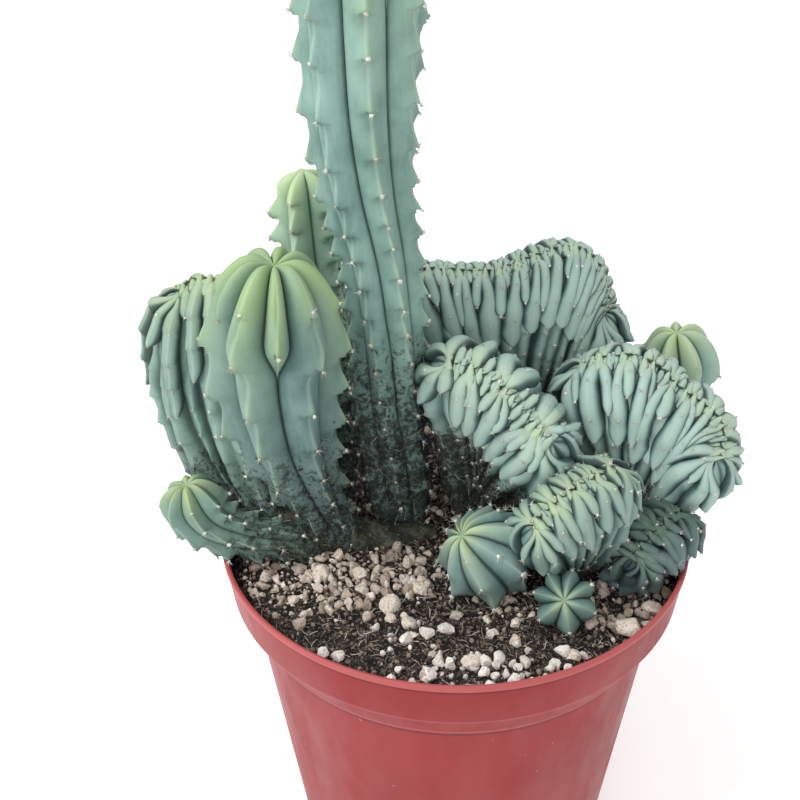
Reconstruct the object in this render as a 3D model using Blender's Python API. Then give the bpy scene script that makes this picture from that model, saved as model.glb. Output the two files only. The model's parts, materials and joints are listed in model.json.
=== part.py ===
"""Potted crested myrtillocactus.

A thin plastic nursery pot holds a gritty potting mix. A tall ribbed stem, three shorter stems
and a low side shoot grow on the left of it, three crested fans on the right, and small offsets
crowd under the fans. Metres, +Z up, the camera side is -Y, the origin is the middle of the
pot's foot.
"""

import math

import bmesh
import bpy
import numpy as np

for old in list(bpy.data.objects):
    bpy.data.objects.remove(old, do_unlink=True)

# Pot: (radius, height) down the outside from the rim, with the collar's two lines.
POT_HEIGHT = 0.125
RIM_RADIUS = 0.075
RIM_EDGE = 0.0006
COLLAR_RADIUS = 0.0725
COLLAR_BOTTOM = POT_HEIGHT - 0.0163
SHOULDER_RADIUS = 0.0666
SHOULDER_BOTTOM = POT_HEIGHT - 0.0264
FOOT_RADIUS = 0.0548
FOOT_EDGE = 0.0008
POT_WALL = 0.0014
POT_SIDES = 40
DRAIN_HOLES = 4
DRAIN_RADIUS = 0.005
DRAIN_CIRCLE = 0.036

# Potting mix
SOIL_TOP = 0.120
SOIL_EDGE_DROP = 0.0015
SOIL_RIGHT_DROP = 0.003
CLEARANCE = 0.0004
NECK_DEPTH = 0.013
NECK_RISE = 0.0015
STONES = 24
STONE_SEED = 5
STONE_SIZES = (0.0020, 0.0036)

# Needles
NEEDLE_LENGTH = 0.0032
NEEDLE_RADIUS = 0.00045
NEEDLE_ROOT = 0.0012

# Places across half a rib and a bit more: its groove, its flanks and its crest.
ROUNDED = (-1.0, -0.5, 0.0, 0.5)
PLAIN = (-1.0, 0.0)

# Fans: how far up the sides run before they close over the top, and where the fingers start.
FAN_DOME = 0.80
FINGER_STARTS = (-1.0, 0.60, 0.34, 0.68)


def unit(vectors):
    """Vectors of length one along the given ones."""
    return vectors / np.maximum(np.linalg.norm(vectors, axis=-1, keepdims=True), 1e-12)


def ease(value):
    """A smooth step from 0 to 1."""
    value = np.clip(value, 0.0, 1.0)
    return value * value * (3.0 - 2.0 * value)


def smooth_curve(points, shares):
    """Values at shares of the length of a smooth curve through points, and that length."""
    points = np.array(points, float)
    ends = np.vstack([2 * points[0] - points[1], points, 2 * points[-1] - points[-2]])
    steps = np.linspace(0, len(points) - 1, 24 * (len(points) - 1) + 1)
    index = np.minimum(steps.astype(int), len(points) - 2)
    part = (steps - index)[:, None]
    a, b, c, d = (ends[index + k] for k in range(4))
    bend = 2 * a - 5 * b + 4 * c - d + part * (3 * b - a - 3 * c + d)
    fine = b + 0.5 * part * (c - a + part * bend)
    gaps = np.linalg.norm(np.diff(fine[:, :3], axis=0), axis=1)
    run = np.concatenate([[0.0], np.cumsum(gaps)])
    shares = np.asarray(shares, float) * run[-1]
    return np.stack([np.interp(shares, run, column) for column in fine.T], axis=-1), run[-1]


def material(name, color, roughness):
    """A plain Principled material."""
    made = bpy.data.materials.new(name)
    made.use_nodes = True
    shader = made.node_tree.nodes["Principled BSDF"]
    shader.inputs["Base Color"].default_value = (*color, 1.0)
    shader.inputs["Roughness"].default_value = roughness
    made.diffuse_color = (*color, 1.0)
    return made


def finish(name, vertices, faces, surface, smooth=True):
    """An object from vertices and faces, its doubles merged and its faces turned outward."""
    mesh = bpy.data.meshes.new(name)
    mesh.from_pydata([tuple(v) for v in vertices], [], faces)
    work = bmesh.new()
    work.from_mesh(mesh)
    bmesh.ops.remove_doubles(work, verts=work.verts, dist=0.00002)
    bmesh.ops.dissolve_degenerate(work, edges=work.edges, dist=0.00002)
    bmesh.ops.triangulate(work, faces=[face for face in work.faces if len(face.verts) > 3])
    bmesh.ops.recalc_face_normals(work, faces=work.faces)
    work.to_mesh(mesh)
    work.free()
    mesh.materials.append(surface)
    made = bpy.data.objects.new(name, mesh)
    bpy.context.scene.collection.objects.link(made)
    if smooth:
        mesh.shade_smooth()
        mesh.set_sharp_from_angle(angle=math.radians(50))
    return made


def skin_of(rings, bottom, top):
    """Quads between rings of equal count, closed by a point at the bottom and one at the top.

    With top None, the last ring is closed as a seam: its front and back halves are zipped.
    """
    count = len(rings[0])
    vertices = np.vstack(rings)
    faces = []
    for row in range(len(rings) - 1):
        for i in range(count):
            j = (i + 1) % count
            low, high = row * count, (row + 1) * count
            faces.append((low + i, low + j, high + j, high + i))
    vertices = np.vstack([vertices, bottom])
    foot = len(vertices) - 1
    faces += [(foot, (i + 1) % count, i) for i in range(count)]
    last = (len(rings) - 1) * count
    if top is None:
        faces.append((last, last + 1, last + count - 1))
        half = count // 2
        for i in range(1, half - 1):
            faces.append((last + i, last + i + 1, last + count - i - 1, last + count - i))
        faces.append((last + half - 1, last + half, last + half + 1))
    else:
        vertices = np.vstack([vertices, top])
        tip = len(vertices) - 1
        faces += [(tip, last + i, last + (i + 1) % count) for i in range(count)]
    return vertices, faces


def boolean(target, other, operation, solver="EXACT"):
    """The target joined with or cut by the other object, which is then removed."""
    group = bpy.data.collections.new("repeats")
    bpy.context.scene.collection.children.link(group)
    for holder in list(other.users_collection):
        holder.objects.unlink(other)
    group.objects.link(other)
    modifier = target.modifiers.new("repeats", "BOOLEAN")
    modifier.operation = operation
    modifier.operand_type = "COLLECTION"
    modifier.collection = group
    modifier.solver = solver
    graph = bpy.context.evaluated_depsgraph_get()
    whole = bpy.data.meshes.new_from_object(target.evaluated_get(graph))
    target.modifiers.clear()
    target.data = whole
    bpy.data.objects.remove(other, do_unlink=True)
    bpy.data.collections.remove(group)


def needles(target, areoles, count, surface):
    """Three-sided needles standing on an even pick of the areoles, joined to the target."""
    pick = np.linspace(0, len(areoles) - 1, count).astype(int)
    vertices = []
    faces = []
    for place, outward in (areoles[i] for i in pick):
        aim = unit(outward + np.array((0.0, 0.0, -0.25)))
        side = unit(np.cross(aim, (0.31, 0.52, 0.79)))
        other = np.cross(aim, side)
        start = len(vertices)
        root = place - aim * NEEDLE_ROOT
        for angle in (0.0, 2.0944, 4.1888):
            vertices.append(root + NEEDLE_RADIUS * (math.cos(angle) * side + math.sin(angle) * other))
        vertices.append(place + aim * NEEDLE_LENGTH)
        faces.append((start, start + 2, start + 1))
        faces += [(start + k, start + (k + 1) % 3, start + 3) for k in range(3)]
    boolean(target, finish("needles", vertices, faces, surface), "UNION", "MANIFOLD")


def rib_shares(births, level, rise):
    """Each rib's share of the way round: a rib widens from nothing above the level where it starts."""
    return ease((level - np.array(births)) / rise)


def neck_rings(base, births, first, samples):
    """Two plain round rings of a neck (x, y, z, radius), with the points of the ribs that reach it."""
    share = rib_shares(births, 0.0, 0.10)
    edges = np.append(0.0, np.cumsum(share)) / share.sum()
    turns = [(a + b) / 2 + x * (b - a) / 2 for a, b in zip(edges, edges[1:]) for x in samples]
    around = math.radians(first) + 2 * math.pi * np.array(turns)
    flat = base[:2] + np.stack([np.sin(around), -np.cos(around)], axis=-1) * base[3]
    heights = (base[2] - NECK_DEPTH, base[2] - 0.0005)
    return [np.column_stack([flat, np.full(len(flat), height)]) for height in heights]


def column(
    name, neck, axis, births, turns, pitch, groove, tooth, dome, spikes, surface, samples=PLAIN
):
    """A ribbed stem: rings along an axis of (x, y, z, crest radius) points over its neck.

    Each rib has a crest, two flanks and a groove. The crests carry a tooth at each areole,
    with a cut under it, and neighbouring ribs are half a pitch apart. `births` gives the share
    of the length at which each rib starts, negative for one that reaches the base. `turns` are
    the first rib's directions in degrees at the bottom and at the tip, from the camera side to
    the right.
    """
    ribs = len(births)
    base = np.array((neck[0], neck[1], SOIL_TOP + NECK_RISE, neck[2]))
    axis = [base - (0, 0, 0.004, 0), base, *axis]
    _, length = smooth_curve(axis, [0.0])
    rows = [length]
    while rows[-1] > 0.006:
        rows.append(rows[-1] - min(pitch / 2, 0.0022 + 0.28 * (length - rows[-1])))
    rows = rows[1:][::-1]
    rings = neck_rings(base, births, turns[0] - 180.0 / ribs, samples)
    areoles = []
    for k, level in enumerate(rows):
        share = rib_shares(births, level / length, 0.10)
        edges = np.concatenate([[0.0], np.cumsum(share)]) / share.sum() * 2 * math.pi
        edges += math.radians(np.interp(level / length, (0, 1), turns)) - edges[1] / 2
        ring = []
        for rib in range(ribs):
            tip = (k + rib) % 2 == 0
            middle = (edges[rib] + edges[rib + 1]) / 2
            half = (edges[rib + 1] - edges[rib]) / 2
            for x in samples:
                ridge = (1.0 - abs(x) ** 1.25) * share[rib]
                lift = ridge * (0.0 if tip else 0.26 * pitch) * ease((length - level) / 0.03)
                at = min(level + lift, length - 0.0002)
                near, far = smooth_curve(axis, [at / length - 0.01, at / length + 0.01])[0][:, :3]
                x0, y0, z0, radius = smooth_curve(axis, [at / length])[0][0]
                along = unit(far - near)
                front = unit(np.array((0.0, -1.0, 0.0)) + along * along[1])
                side = np.cross(along, front)
                angle = middle + x * half
                outward = math.cos(angle) * front + math.sin(angle) * side
                cap = math.sqrt(max(1.0 - max((at - length + dome) / dome, 0.0) ** 2, 0.004))
                deep = groove + (1 - groove) * (1 - ease(level / 0.02))
                crest = radius * (deep + (1 - deep) * ridge) * cap
                crest += ridge * (tooth if tip else -tooth) * cap * ease(level / 0.02)
                point = np.array((x0, y0, z0)) + outward * crest
                ring.append(point)
                if x == 0.0 and tip and share[rib] > 0.6 and level > min(0.016, 0.45 * length):
                    areoles.append((point, outward))
        rings.append(np.array(ring))
    top = smooth_curve(axis, [1.0])[0][0][:3]
    vertices, faces = skin_of(rings, (base[0], base[1], base[2] - NECK_DEPTH), top)
    made = finish(name, vertices, faces, surface)
    needles(made, areoles, spikes, surface)
    return made


def fan_layout(side_ribs, cap_ribs):
    """The stretches of a fan's ring from the middle of its left end round: (side, start, births).

    In each group of four ribs one runs to the base, and the others start part of the way up.
    """
    stretches = ((3, 0.5, cap_ribs // 2), (0, 0.0, side_ribs), (1, 0.0, cap_ribs), (2, 0.0, side_ribs))
    layout = []
    number = 2
    for side, start, count in (*stretches, (3, 0.0, cap_ribs // 2)):
        layout.append((side, start, [FINGER_STARTS[(number + i) % 4] for i in range(count)]))
        number += count
    return layout


def fan(name, neck, waist, line, thickness, side_ribs, rows, spikes, surface, cap_ribs=4):
    """A crested fan: rings of two long sides and two round ends, which rise from a round neck,
    widen along the waist and close on the growing line along the top.
    """
    base = np.array((neck[0], neck[1], SOIL_TOP + NECK_RISE, neck[2]))
    foot = base[:3]
    half_foot = np.array((0.001, 0.0, 0.0))

    def spine(u, v):
        low = foot + (2 * u - 1) * half_foot
        middle = smooth_curve(waist, [u])[0][0]
        high = smooth_curve(line, [u])[0][0]
        return (1 - v) ** 2 * low + 2 * v * (1 - v) * middle + v * v * high

    def on_ring(side, part, v):
        """Centre, outward direction and upward direction at a place of the ring."""
        u = (part, 1.0, 1.0 - part, 0.0)[side]
        along = spine(min(u + 0.04, 1.0), v) - spine(max(u - 0.04, 0.0), v)
        up = unit(spine(u, min(v + 0.03, 1.0)) - spine(u, max(v - 0.03, 0.0)))
        front = unit(np.cross(along, up))
        turn = math.pi * part if side in (1, 3) else 0.0
        out = math.cos(turn) * front + math.sin(turn) * np.cross(up, front)
        return spine(u, v), out if side < 2 else -out, up

    levels = [(v, 0.0) for v in np.linspace(0.06, FAN_DOME, rows)]
    for tilt in (math.radians(a) for a in (22, 42, 60, 76)):
        levels.append((FAN_DOME + (1 - FAN_DOME) * math.sin(tilt), tilt))
    layout = fan_layout(side_ribs, cap_ribs)
    rings = neck_rings(base, np.concatenate([births for _, _, births in layout]), -90.0, PLAIN)
    areoles = []
    for k, (v, tilt) in enumerate(levels):
        half = np.interp(v, [0.0, 0.25, 0.55, FAN_DOME], [neck[2], *thickness]) * math.cos(tilt)
        ring = []
        for side, start, births in layout:
            share = rib_shares(births, v, 0.10) + 1e-6
            edges = start + (0.5 if side == 3 else 1.0) * np.append(0.0, np.cumsum(share)) / share.sum()
            for rib, (left, right) in enumerate(zip(edges, edges[1:])):
                tip = (k + rib) % 2 == 0
                ends = [on_ring(side, part, v) for part in (left, right)]
                width = np.linalg.norm(np.subtract(*[c + o * half for c, o, _ in ends]))
                tall = min(0.55 * width, 0.0042) * ease(v / 0.3) * (1 - 0.75 * math.sin(tilt) ** 3)
                for x in PLAIN:
                    ridge = 1.0 - abs(x)
                    lift = 0.0 if tip else 0.012 * ridge * share[rib]
                    middle = (left + right) / 2 + x * (right - left) / 2
                    centre, out, up = on_ring(side, middle, min(v + lift, 1.0))
                    aim = unit(out * math.cos(tilt) + up * math.sin(tilt))
                    swell = tall * ridge * (1.15 if tip else 0.7) - 0.25 * tall * (1 - ridge)
                    point = centre + out * half + aim * swell
                    ring.append(point)
                    if ridge == 1.0 and tip and share[rib] > 0.6 and v > 0.3:
                        areoles.append((point, aim))
        rings.append(np.array(ring))
    vertices, faces = skin_of(rings, (foot[0], foot[1], foot[2] - NECK_DEPTH), None)
    made = finish(name, vertices, faces, surface)
    needles(made, areoles, spikes, surface)
    return made


def turned(profile, sides):
    """Rings of a turned shape from (radius, height) pairs."""
    around = 2 * math.pi * np.arange(sides) / sides
    return [
        np.column_stack([r * np.cos(around), r * np.sin(around), np.full(sides, z)]) for r, z in profile
    ]


def inner_radius(height):
    """The pot's inner radius at a height."""
    heights = (FOOT_EDGE, SHOULDER_BOTTOM, COLLAR_BOTTOM, POT_HEIGHT)
    radii = (FOOT_RADIUS, SHOULDER_RADIUS, COLLAR_RADIUS, RIM_RADIUS)
    return float(np.interp(height, heights, radii)) - POT_WALL


def make_pot(surface):
    """A thin tapered pot with a stepped collar, a flat floor and drain holes in it."""
    profile = [
        (FOOT_RADIUS - FOOT_EDGE, 0.0),
        (FOOT_RADIUS, FOOT_EDGE),
        (SHOULDER_RADIUS, SHOULDER_BOTTOM),
        (COLLAR_RADIUS, COLLAR_BOTTOM),
        (RIM_RADIUS, POT_HEIGHT - RIM_EDGE),
        (RIM_RADIUS - RIM_EDGE, POT_HEIGHT),
        (RIM_RADIUS - POT_WALL, POT_HEIGHT - RIM_EDGE),
        (inner_radius(COLLAR_BOTTOM), COLLAR_BOTTOM),
        (inner_radius(SHOULDER_BOTTOM), SHOULDER_BOTTOM),
        (inner_radius(POT_WALL), POT_WALL),
    ]
    vertices, faces = skin_of(turned(profile, POT_SIDES), (0, 0, 0), (0, 0, POT_WALL))
    pot = finish("pot", vertices, faces, surface)
    for i in range(DRAIN_HOLES):
        turn = 2 * math.pi * (i + 0.5) / DRAIN_HOLES
        place = (DRAIN_CIRCLE * math.cos(turn), DRAIN_CIRCLE * math.sin(turn), POT_WALL / 2)
        bpy.ops.mesh.primitive_cylinder_add(vertices=10, radius=DRAIN_RADIUS, depth=0.01, location=place)
        boolean(pot, bpy.context.active_object, "DIFFERENCE")
    return pot


def soil_height(x, y):
    """Height of the potting mix: a low mound that sinks towards the pot's right side."""
    away = np.hypot(x, y) / RIM_RADIUS
    grain = 0.0004 * np.sin(410 * x + 1.3) * np.sin(370 * y + 0.4)
    return SOIL_TOP - SOIL_EDGE_DROP * away**2 - SOIL_RIGHT_DROP * ease((x - 0.030) / 0.04) + grain


def stones(necks, surface):
    """Rough stones half sunk into the mix, clear of the necks and of each other."""
    chance = np.random.RandomState(STONE_SEED)
    placed = [(0.0520, -0.0425, 0.0042), (-0.0188, -0.0375, 0.0036), (-0.0405, -0.0235, 0.0030)]
    while len(placed) < STONES:
        turn, away = chance.uniform(0, 2 * math.pi), 0.066 * math.sqrt(chance.uniform(0, 1))
        size = chance.uniform(*STONE_SIZES)
        x, y = away * math.cos(turn), away * math.sin(turn)
        near_neck = any(math.hypot(x - a, y - b) < r + size + 0.003 for a, b, r in necks)
        near_stone = any(math.hypot(x - a, y - b) < s + size + 0.0003 for a, b, s in placed)
        if not near_neck and not near_stone:
            placed.append((x, y, size))
    corners = ((1, 0, 0), (0, 1, 0), (-1, 0, 0), (0, -1, 0), (0, 0, 0.75), (0, 0, -1))
    sides = ((0, 1, 4), (1, 2, 4), (2, 3, 4), (3, 0, 4), (1, 0, 5), (2, 1, 5), (3, 2, 5), (0, 3, 5))
    vertices = []
    faces = []
    for x, y, size in placed:
        turn = chance.uniform(0, math.pi)
        start = len(vertices)
        height = float(soil_height(x, y)) + 0.1 * size
        for a, b, c in corners:
            stretch = size * chance.uniform(0.8, 1.0)
            along = (a * math.cos(turn) - b * math.sin(turn), a * math.sin(turn) + b * math.cos(turn))
            vertices.append((x + stretch * along[0], y + stretch * along[1], height + stretch * c))
        faces += [tuple(start + i for i in side) for side in sides]
    return finish("stones", vertices, faces, surface, smooth=False)


def make_soil(necks, surface):
    """The potting mix: it fills the pot, its top has stones, and each neck has a plain hole."""
    floor = POT_WALL + CLEARANCE
    sides = 36
    around = 2 * math.pi * np.arange(sides) / sides
    heights = (floor, SHOULDER_BOTTOM, COLLAR_BOTTOM)
    rings = turned([(inner_radius(z) - CLEARANCE, z) for z in heights], sides)
    top_radius = inner_radius(SOIL_TOP - 0.004) - CLEARANCE
    for away in (1.0, 0.86, 0.68, 0.48, 0.26):
        x, y = top_radius * away * np.cos(around), top_radius * away * np.sin(around)
        rings.append(np.column_stack([x, y, soil_height(x, y)]))
    vertices, faces = skin_of(rings, (0, 0, floor), (0, 0, float(soil_height(0.0, 0.0))))
    soil = finish("soil", vertices, faces, surface, smooth=False)
    boolean(soil, stones(necks, surface), "UNION", "MANIFOLD")
    for x, y, radius in necks:
        depth = NECK_DEPTH + CLEARANCE
        place = (x, y, SOIL_TOP - depth + 0.02)
        width = (radius + CLEARANCE) / math.cos(math.pi / 12)
        bpy.ops.mesh.primitive_cylinder_add(vertices=12, radius=width, depth=0.04, location=place)
        boolean(soil, bpy.context.active_object, "DIFFERENCE")
    return soil


TERRACOTTA = material("terracotta_plastic", (0.42, 0.085, 0.085), 0.42)
MIX = material("potting_mix", (0.075, 0.05, 0.038), 0.95)
STEM_SKIN = material("stem_skin", (0.20, 0.33, 0.28), 0.6)
CREST_SKIN = material("crest_skin", (0.24, 0.40, 0.34), 0.6)
SHADED_SKIN = material("shaded_skin", (0.10, 0.19, 0.19), 0.65)

# Where each stem stands in the mix: (x, y, neck radius).
TALL_NECK = (-0.018, 0.009, 0.0095)
REAR_NECK = (-0.039, 0.021, 0.0065)
FRONT_NECK = (-0.037, -0.006, 0.0070)
LEFT_NECK = (-0.054, -0.002, 0.0060)
LOW_NECK = (-0.048, -0.0185, 0.0055)
UPPER_NECK = (0.024, 0.036, 0.0085)
MIDDLE_NECK = (0.008, 0.010, 0.0085)
RIGHT_NECK = (0.057, 0.009, 0.0080)
REAR_RIGHT_NECK = (0.053, 0.033, 0.0055)
SMALL_NECK = (0.0365, -0.0165, 0.0065)
STAR_NECK = (0.009, -0.022, 0.0055)
TINY_NECK = (0.033, -0.041, 0.0038)
UNDER_NECK = (0.054, -0.018, 0.0060)
LEFT_NECKS = [TALL_NECK, REAR_NECK, FRONT_NECK, LEFT_NECK, LOW_NECK]
RIGHT_NECKS = [UPPER_NECK, MIDDLE_NECK, RIGHT_NECK, REAR_RIGHT_NECK]
FRONT_NECKS = [SMALL_NECK, STAR_NECK, TINY_NECK, UNDER_NECK]


def make_tall_stem(surface):
    """The tall stem, narrow below and thick above, where two more ribs start."""
    axis = (
        (-0.0190, 0.0090, 0.136, 0.0118),
        (-0.0210, 0.0090, 0.160, 0.0120),
        (-0.0208, 0.0090, 0.190, 0.0120),
        (-0.0222, 0.0090, 0.213, 0.0126),
        (-0.0253, 0.0090, 0.236, 0.0145),
        (-0.0264, 0.0090, 0.258, 0.0165),
        (-0.0256, 0.0090, 0.284, 0.0178),
        (-0.0250, 0.0090, 0.320, 0.0184),
    )
    births = (-1, 0.78, -1, -1, -1, -1, -1, -1, 0.76)
    column(
        "tall_stem", TALL_NECK, axis, births, turns=(60.0, 2.0), pitch=0.015, groove=0.74,
        tooth=0.0014, dome=0.022, spikes=20, surface=surface, samples=ROUNDED,
    )


def make_rear_stem(surface):
    """A thinner stem behind the tall one."""
    axis = (
        (-0.0410, 0.0235, 0.143, 0.0090),
        (-0.0430, 0.0255, 0.173, 0.0105),
        (-0.0460, 0.0270, 0.204, 0.0104),
        (-0.0468, 0.0265, 0.233, 0.0090),
    )
    column(
        "rear_stem", REAR_NECK, axis, births=(-1,) * 6, turns=(20.0, 20.0), pitch=0.013,
        groove=0.66, tooth=0.0010, dome=0.014, spikes=8, surface=surface,
    )


def make_front_stem(surface):
    """A thick short stem that leans forward, with one rib that starts near its top."""
    axis = (
        (-0.0435, -0.0105, 0.142, 0.0105),
        (-0.0490, -0.0145, 0.164, 0.0155),
        (-0.0508, -0.0180, 0.187, 0.0192),
        (-0.0500, -0.0195, 0.205, 0.0200),
        (-0.0485, -0.0205, 0.225, 0.0190),
    )
    births = (0.70, -1, -1, -1, -1, -1, -1, -1, -1, -1)
    column(
        "front_stem", FRONT_NECK, axis, births, turns=(6.0, 6.0), pitch=0.014, groove=0.70,
        tooth=0.0014, dome=0.024, spikes=14, surface=surface, samples=ROUNDED,
    )


def make_low_offset(surface):
    """The side shoot that lies over the rim on the left."""
    axis = (
        (-0.0520, -0.0210, 0.1285, 0.0075),
        (-0.0630, -0.0213, 0.1362, 0.0101),
        (-0.0760, -0.0207, 0.1400, 0.0112),
        (-0.0890, -0.0180, 0.1430, 0.0100),
    )
    column(
        "low_offset", LOW_NECK, axis, births=(-1,) * 7, turns=(15.0, 15.0), pitch=0.011,
        groove=0.70, tooth=0.0009, dome=0.013, spikes=7, surface=surface,
    )


def make_rear_right_stem(surface):
    """A short stem behind the right fan."""
    axis = (
        (0.0560, 0.0345, 0.134, 0.0080),
        (0.0660, 0.0370, 0.149, 0.0108),
        (0.0725, 0.0380, 0.162, 0.0120),
        (0.0740, 0.0380, 0.175, 0.0120),
    )
    column(
        "rear_right_stem", REAR_RIGHT_NECK, axis, births=(-1,) * 8, turns=(10.0, 10.0),
        pitch=0.012, groove=0.66, tooth=0.0009, dome=0.016, spikes=6, surface=surface,
    )


def make_round_offsets(crest, shaded):
    """The two round offsets in front of the fans."""
    star = (
        (0.0080, -0.0240, 0.1270, 0.0115),
        (0.0040, -0.0275, 0.1350, 0.0132),
        (0.0020, -0.0300, 0.1425, 0.0115),
    )
    column(
        "star_offset", STAR_NECK, star, births=(-1,) * 9, turns=(20.0, 20.0), pitch=0.010,
        groove=0.62, tooth=0.0010, dome=0.013, spikes=7, surface=crest,
    )
    tiny = (
        (0.0328, -0.0420, 0.1245, 0.0070),
        (0.0322, -0.0430, 0.1285, 0.0083),
        (0.0318, -0.0438, 0.1320, 0.0070),
    )
    column(
        "tiny_offset", TINY_NECK, tiny, births=(-1,) * 7, turns=(0.0, 0.0), pitch=0.007,
        groove=0.55, tooth=0.0007, dome=0.008, spikes=5, surface=shaded,
    )


def make_left_stem(surface):
    """The leftmost stem, whose top has begun to widen into a crest."""
    waist = ((-0.0915, 0.007, 0.154), (-0.0870, 0.007, 0.152), (-0.0825, 0.007, 0.150))
    line = ((-0.0845, 0.006, 0.203), (-0.0780, 0.007, 0.205), (-0.0715, 0.006, 0.205))
    fan(
        "left_stem", LEFT_NECK, waist, line, thickness=(0.0075, 0.0085, 0.0080),
        side_ribs=4, rows=11, spikes=10, surface=surface,
    )


def make_large_fans(surface):
    """The three large fans: behind, in the middle and on the right."""
    waist = ((0.008, 0.0430, 0.158), (0.023, 0.0442, 0.162), (0.038, 0.0465, 0.156))
    line = (
        (-0.010, 0.033, 0.197),
        (0.003, 0.035, 0.195),
        (0.014, 0.035, 0.196),
        (0.024, 0.036, 0.200),
        (0.035, 0.038, 0.2025),
        (0.043, 0.039, 0.198),
        (0.047, 0.0385, 0.190),
        (0.0485, 0.038, 0.180),
    )
    fan(
        "upper_crest", UPPER_NECK, waist, line, thickness=(0.0095, 0.0113, 0.0103),
        side_ribs=16, rows=8, spikes=13, surface=surface,
    )
    waist = ((0.0074, 0.012, 0.158), (0.012, 0.010, 0.155), (0.0202, 0.004, 0.147))
    line = (
        (0.0006, -0.0005, 0.181),
        (0.009, -0.004, 0.179),
        (0.017, -0.007, 0.173),
        (0.0243, -0.010, 0.166),
        (0.0285, -0.012, 0.163),
    )
    fan(
        "middle_crest", MIDDLE_NECK, waist, line, thickness=(0.0088, 0.0101, 0.0104),
        side_ribs=12, rows=8, spikes=11, surface=surface,
    )
    waist = ((0.0500, 0.0122, 0.150), (0.058, 0.010, 0.148), (0.0705, 0.006, 0.144))
    line = (
        (0.0388, 0.011, 0.175),
        (0.044, 0.008, 0.179),
        (0.053, 0.006, 0.181),
        (0.061, 0.004, 0.178),
        (0.067, 0.001, 0.173),
        (0.074, -0.001, 0.169),
        (0.079, -0.004, 0.164),
        (0.079, -0.008, 0.155),
    )
    fan(
        "right_crest", RIGHT_NECK, waist, line, thickness=(0.0083, 0.0103, 0.0105),
        side_ribs=16, rows=8, spikes=13, surface=surface,
    )


def make_small_fans(crest, shaded):
    """The small fan in front and the dark one under the right fan."""
    waist = ((0.0295, -0.0265, 0.139), (0.036, -0.0252, 0.140), (0.0418, -0.0230, 0.142))
    line = (
        (0.0235, -0.0325, 0.147),
        (0.029, -0.0305, 0.153),
        (0.035, -0.0275, 0.1565),
        (0.041, -0.0245, 0.158),
        (0.0460, -0.0210, 0.160),
    )
    fan(
        "small_crest", SMALL_NECK, waist, line, thickness=(0.0068, 0.0080, 0.0075),
        side_ribs=8, rows=6, spikes=9, surface=crest,
    )
    waist = ((0.0592, -0.021, 0.130), (0.062, -0.018, 0.131), (0.0645, -0.015, 0.1315))
    line = (
        (0.0565, -0.025, 0.133),
        (0.059, -0.022, 0.1365),
        (0.0635, -0.018, 0.137),
        (0.066, -0.014, 0.136),
    )
    fan(
        "under_crest", UNDER_NECK, waist, line, thickness=(0.0062, 0.0068, 0.0060),
        side_ribs=6, rows=5, spikes=7, surface=shaded,
    )


make_pot(TERRACOTTA)
make_soil(LEFT_NECKS + RIGHT_NECKS + FRONT_NECKS, MIX)
make_tall_stem(STEM_SKIN)
make_rear_stem(STEM_SKIN)
make_front_stem(STEM_SKIN)
make_left_stem(STEM_SKIN)
make_low_offset(STEM_SKIN)
make_rear_right_stem(CREST_SKIN)
make_round_offsets(CREST_SKIN, SHADED_SKIN)
make_large_fans(CREST_SKIN)
make_small_fans(CREST_SKIN, SHADED_SKIN)
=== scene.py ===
"""Potted crested myrtillocactus on a pale floor."""

import json
import math

import bmesh
import bpy
import numpy as np
from mathutils import Matrix, Vector

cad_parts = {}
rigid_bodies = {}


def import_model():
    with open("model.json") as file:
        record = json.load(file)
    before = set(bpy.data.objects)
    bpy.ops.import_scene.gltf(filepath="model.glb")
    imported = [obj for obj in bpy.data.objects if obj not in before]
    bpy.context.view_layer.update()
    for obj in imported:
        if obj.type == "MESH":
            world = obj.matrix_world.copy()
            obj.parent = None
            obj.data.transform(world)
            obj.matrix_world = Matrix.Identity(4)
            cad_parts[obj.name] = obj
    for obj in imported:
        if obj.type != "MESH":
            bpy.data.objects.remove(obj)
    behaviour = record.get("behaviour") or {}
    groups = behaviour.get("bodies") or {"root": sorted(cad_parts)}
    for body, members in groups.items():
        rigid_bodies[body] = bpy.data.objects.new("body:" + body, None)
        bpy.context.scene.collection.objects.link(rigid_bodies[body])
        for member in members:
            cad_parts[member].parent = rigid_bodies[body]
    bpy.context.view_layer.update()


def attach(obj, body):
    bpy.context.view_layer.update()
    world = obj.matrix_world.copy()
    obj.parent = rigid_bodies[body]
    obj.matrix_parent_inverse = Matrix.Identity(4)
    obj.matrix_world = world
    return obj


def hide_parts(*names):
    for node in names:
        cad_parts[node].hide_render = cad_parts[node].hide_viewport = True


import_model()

# The pot: a thin moulded nursery pot of terracotta-coloured plastic. A wide collar steps in to a
# tapered body, the rim is a thin rounded lip, and the flat floor has drain holes.
POT_SIDES = 160
POT_ROUNDING = 0.0005
# Outline from the middle of the underside up to the rim and down inside: (radius, height).
POT_OUTLINE = (
    (0.0, 0.0), (0.0540, 0.0), (0.0548, 0.0012), (0.0664, 0.0980), (0.0672, 0.0987), (0.0719, 0.1084),
    (0.0730, 0.1090), (0.0744, 0.1219), (0.0744, 0.1226), (0.0750, 0.1231), (0.0750, 0.1246),
    (0.0745, 0.1250), (0.0735, 0.1247), (0.0732, 0.1222), (0.0712, 0.1087), (0.0652, 0.0986),
    (0.0535, 0.0014), (0.0, 0.0014),
)
# Bands of shade in the creases and of light on the edges: (lowest, highest, softness, share).
CREASE_SHADOWS = ((0.1072, 0.1087, 0.0006, 0.6), (0.0970, 0.0984, 0.0006, 0.55), (0.1221, 0.1227, 0.0004, 0.5))
EDGE_HIGHLIGHTS = ((0.1090, 0.1096, 0.0003, 0.4), (0.0988, 0.1002, 0.0003, 0.4), (0.1232, 0.1300, 0.0002, 0.75))
DRAIN_CIRCLE = 0.036
DRAIN_RADIUS = 0.005


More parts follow.
